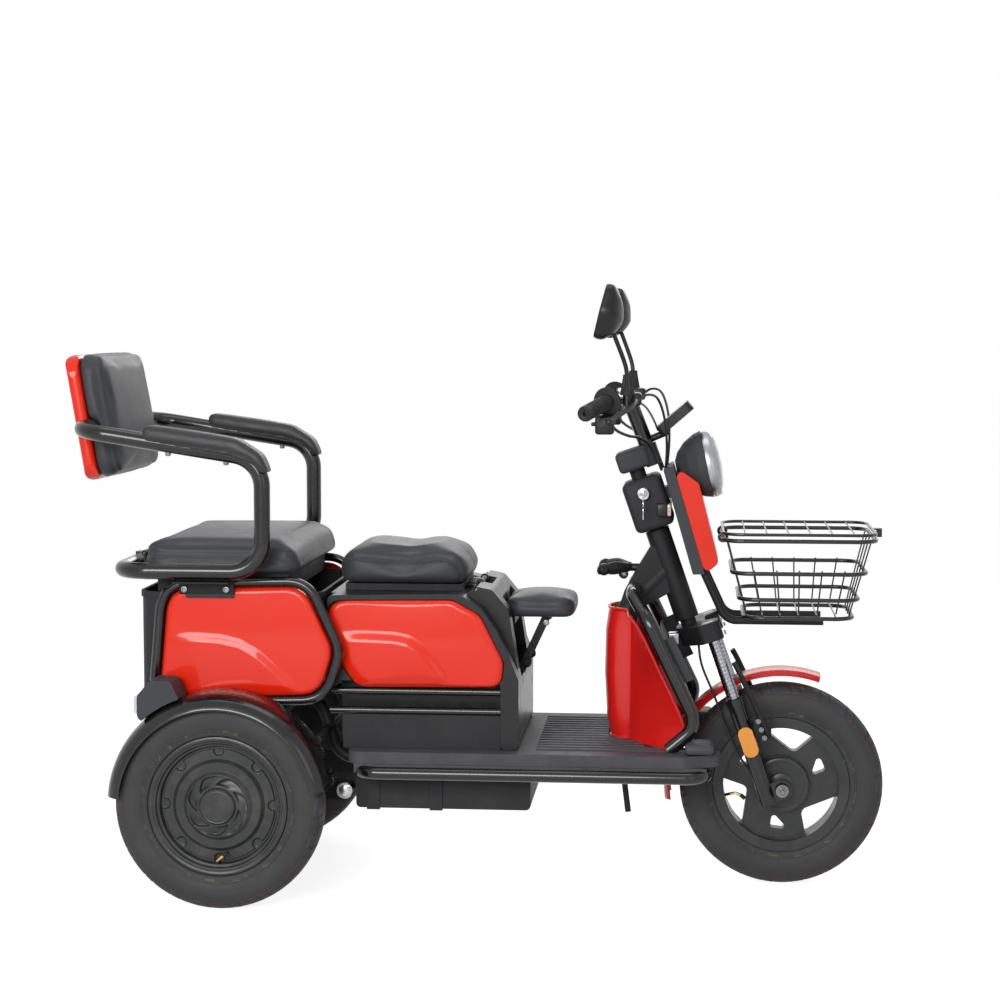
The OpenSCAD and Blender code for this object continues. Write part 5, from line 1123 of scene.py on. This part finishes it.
key.box(key_at + Vector((-1.2, -26, -50)), key_at + Vector((1.2, -16, -27)), 1.0)
piece("ignition_key", key, M_CHROME, "steering")
marker = steer(27, 0, 232)
stub = Shape().lathe([(11.5, 0), (11.5, 5), (9, 8), (8.4, 18)], marker + Vector((0, 57.5, 0)), (0, 1, 0), 28)
stub.box(marker + Vector((-12, 75, -13)), marker + Vector((9, 97, 13)), 3.5)
piece("marker_stubs", stub.both(), M_PLASTIC_SMOOTH, "steering")
lens_box = Shape().box(marker + Vector((9.2, 76, -12)), marker + Vector((17, 96, 12)), 3.0)
piece("marker_lenses", lens_box.both(), M_MARKER, "steering")

# Cables: from the levers, the switches and the display down into the panel, and one down the fork to the drum
CABLES = [
    ("brake_cable_right", 5.2, M_CABLE, [
        (808, -198, 992), (827, -172, 1004), (846, -132, 996),
        (859, -92, 958), (864, -56, 904), (862, -32, 847)]),
    ("brake_cable_left", 5.2, M_CABLE, [
        (808, 198, 992), (828, 170, 1006), (850, 128, 1000),
        (864, 86, 962), (868, 50, 908), (864, 26, 848)]),
    ("switch_cable_right", 6.0, M_CABLE, [
        (754, -197, 952), (768, -178, 934), (790, -140, 922),
        (812, -98, 915), (836, -58, 892), (854, -40, 848)]),
    ("switch_cable_left", 6.0, M_CABLE, [
        (754, 197, 952), (768, 178, 934), (790, 140, 922),
        (812, 98, 915), (838, 56, 892), (856, 36, 848)]),
    ("display_cable", 4.4, M_BRAID, [
        (794, -24, 986), (807, -25, 984), (822, -22, 973), (835, -16, 952), (846, -10, 926)]),
    ("drum_cable", 5.0, M_CABLE, [
        steer(10, -50, -40), steer(0, -56, -92), steer(4, -60, -160), steer(6, -60, -230),
        steer(14, -57, -300), steer(34, -36, -354)]),
]
CABLE_POINTS = 32
for name, thick, material, line in CABLES:
    curve = bpy.data.curves.new(name, "CURVE")
    curve.dimensions = "3D"
    curve.bevel_depth = thick / 2 * MM
    curve.bevel_resolution = 3
    curve.use_fill_caps = True
    spline = curve.splines.new("POLY")
    path = [at(*p) for p in smooth_path(line, CABLE_POINTS)]
    spline.points.add(len(path) - 1)
    for q, p in zip(spline.points, path):
        q.co = (p.x, p.y, p.z, 1)
    curve.materials.append(material)
    ob = show(name, curve)
    settle(ob, "steering", ())

# Leg shield: a ridge over the column, a fold at each side of it, wings out to the arch and a rolled edge
SHIELD_EDGE_Z = [303, 312, 325, 345, 372, 420, 470, 520, 552, 566]
SHIELD_EDGE_X = [868, 888, 899, 903, 894, 872, 848, 824, 806, 794]
SHIELD_NOSE_Z = [303, 340, 430, 520, 566]
SHIELD_NOSE_X = [752, 744, 739, 741, 748]
SHIELD_FOLD_X = 797
SHIELD_LEVELS = 44
SHIELD_LOW, SHIELD_TOP = 303.4, 566
# Half widths at the fold and at the edge, and the bulge between them
FOLD_Y, EDGE_Y, WING_BULGE = 72, 170, 5
WING_SHARES = (0.14, 0.38, 0.64, 0.88, 1.0)
shield_rows, shield_lip = [], []
for k in range(SHIELD_LEVELS + 1):
    z = mix(SHIELD_LOW, SHIELD_TOP, k / SHIELD_LEVELS)
    edge_x = float(np.interp(z, SHIELD_EDGE_Z, SHIELD_EDGE_X))
    nose_x = float(np.interp(z, SHIELD_NOSE_Z, SHIELD_NOSE_X))
    fold_x = min(SHIELD_FOLD_X, edge_x - 6)
    line = [(nose_x, 0), (nose_x + 2, 22), (nose_x + 9, 40), (nose_x + 22, 52), (fold_x - 6, 60),
            (fold_x - 1, 66)]
    line += [(mix(fold_x, edge_x, s), mix(FOLD_Y, EDGE_Y, s) + WING_BULGE * math.sin(math.pi * s))
             for s in WING_SHARES]
    row = smooth_path([(a, -b, z) for a, b in line], 56)
    shield_rows.append(row)
    shield_lip.append(row[-1])
shield = Shape().grid(shield_rows)
for line, r in ((smooth_path(shield_lip, 90), 3.6), (shield_rows[-1], 3.2), (shield_rows[0], 3.2)):
    shield.tube(line, r, 10)
piece("leg_shield_formed", shield.both(), M_RED_DEEP, "chassis", ("leg_shield",), sharp=60)

# Floor: a closing strip between its edge and the side tubes, and the raised lip at its front corners
trim = Shape().box((252, 224, 257), (948, 233.5, 277), 2.5)
trim.box((905, 150, 302), (962, 231, 322), 9.0)
piece("floor_trim", trim.both(), M_FLOOR, "chassis")
handle = Shape().tube(smooth_path([(786, 3, 646), (766, 24, 647), (748, 40, 647), (731, 54, 646)], 18),
                      lambda t: 12.5 + 4.5 * math.sin(math.pi * min(t * 1.15, 1)) ** 2, 18, 0.72)
piece("child_handle_grips", handle.both(), M_GRIP, "chassis")

# Brackets, bolts and reflectors on the frame
bracket = Shape().box((-92, 242, 611), (19, 246, 637), 1.4)
bracket.box((-92, 242, 637.2), (19, 300, 641.2), 1.4)
piece("hoop_brackets", bracket.both(), M_FRAME, "chassis")
fixings = Shape()
for x in (-80, 3.7):
    fixings.screw((x, 246, 621), (0, 1, 0), 7.0, 5.0)
for x, z in ((-99, 893), (15, 876)):
    fixings.screw((x, 290, z), (0, 0, -1), 5.5, 7.0)
for x, z in ((621.6, 536), (590, 478)):
    fixings.screw((x, 47, z), (0, 1, 0), 6.5, 5.0)
fixings.both()
piece("frame_bolts", fixings, M_BOLT, "chassis")
pivot = Shape().bolt((222, 154.4, 205), (0, 1, 0), 10.5, 9)
piece("swing_pivot_bolts", pivot.both(), M_ZINC, "chassis")
reflect = Shape().lathe([(9.5, 0), (9.8, 5), (8.8, 8), (5, 9.6), (0.1, 10)], (778, -4, 634),
                        (-0.35, -0.75, -0.5), 28)
reflect.box((868, -46, 494), (892, -22, 518), 4.0)
piece("clear_reflectors", reflect, M_SILVER, "chassis")
knob = Shape().lathe([(5, 0), (9, 2), (10, 7), (8, 12), (1, 13.5)], (578, -62, 456), (0.8, -0.5, 0), 24)
piece("rest_knob", knob.both(), M_GRIP, "chassis")

# Stage, light and camera. The camera is fitted to the photo
cam = bpy.data.cameras.new("camera")
cam.lens = 78.60
cam.sensor_width = 36.0
cam_obj = show("camera", cam)
cam_obj.location = (0.43954, -4.4515, 1.139)
cam_obj.rotation_euler = (math.pi / 2 - 0.07974, 0.0, 0.08906)
SCENE.camera = cam_obj

WHITE = (1, 1, 1, 1)
# Light from the sky on the object, the floor's own tone, and how much of white a camera ray adds to it
SKY = 0.30
FLOOR_TONE = (0.50, 0.50, 0.50, 1)
FLOOR_SEEN = 0.84
FLOOR_REACH = 30
FLOOR_DROP = 0.0005


def seen(tree):
    """A socket that is 1 where a camera, glossy or transmission ray arrives."""
    rays = tree.nodes.new("ShaderNodeLightPath")
    last = rays.outputs["Is Camera Ray"]
    for name in ("Is Glossy Ray", "Is Transmission Ray"):
        total = tree.nodes.new("ShaderNodeMath")
        total.operation = "ADD"
        total.use_clamp = True
        tree.links.new(last, total.inputs[0])
        tree.links.new(rays.outputs[name], total.inputs[1])
        last = total.outputs[0]
    return last


def empty_tree(owner):
    owner.use_nodes = True
    owner.node_tree.nodes.clear()
    return owner.node_tree


world = bpy.data.worlds.new("studio")
SCENE.world = world
tree = empty_tree(world)
blend = tree.nodes.new("ShaderNodeMixShader")
tree.links.new(seen(tree), blend.inputs[0])
for k, strength in ((1, SKY), (2, 1.0)):
    light = put(tree.nodes.new("ShaderNodeBackground"), {"Color": WHITE, "Strength": strength})
    tree.links.new(light.outputs[0], blend.inputs[k])
tree.links.new(blend.outputs[0], tree.nodes.new("ShaderNodeOutputWorld").inputs["Surface"])

floor_mesh = bpy.data.meshes.new("floor")
floor_mesh.from_pydata([(a * FLOOR_REACH, b * FLOOR_REACH, 0) for a,
                        b in ((-1, -1), (1, -1), (1, 1), (-1, 1))], [], [(0, 1, 2, 3)])
floor = show("floor", floor_mesh)
floor.location.z = -FLOOR_DROP
floor_look = bpy.data.materials.new("floor")
tree = empty_tree(floor_look)
lit = put(tree.nodes.new("ShaderNodeBsdfDiffuse"), {"Color": FLOOR_TONE})
glow = put(tree.nodes.new("ShaderNodeEmission"), {"Color": WHITE})
share = tree.nodes.new("ShaderNodeMath")
share.operation = "MULTIPLY"
share.inputs[1].default_value = FLOOR_SEEN
tree.links.new(seen(tree), share.inputs[0])
tree.links.new(share.outputs[0], glow.inputs["Strength"])
total = tree.nodes.new("ShaderNodeAddShader")
tree.links.new(lit.outputs[0], total.inputs[0])
tree.links.new(glow.outputs[0], total.inputs[1])
tree.links.new(total.outputs[0], tree.nodes.new("ShaderNodeOutputMaterial").inputs["Surface"])
floor_mesh.materials.append(floor_look)


def softbox(name, place, target, size_x, size_y, power):
    """A soft lamp that looks at a point; places and sizes in m, power in W."""
    lamp = bpy.data.lights.new(name, "AREA")
    lamp.shape = "RECTANGLE"
    lamp.size = size_x
    lamp.size_y = size_y
    lamp.energy = power
    ob = show(name, lamp)
    ob.location = place
    ob.rotation_euler = (Vector(target) - Vector(place)).to_track_quat("-Z", "Y").to_euler()


softbox("key", (-1.0, -4.4, 1.9), (0, 0, 0.5), 2.6, 1.6, 178)
softbox("fill", (2.4, -3.4, 1.4), (0.1, 0, 0.5), 1.2, 1.8, 9)
softbox("top", (0, -0.2, 3.4), (0, 0, 0.4), 2.6, 1.2, 18)
softbox("back", (0.3, 3.2, 2.2), (0, 0, 0.6), 3.0, 1.2, 34)

SCENE.view_settings.view_transform = "Standard"
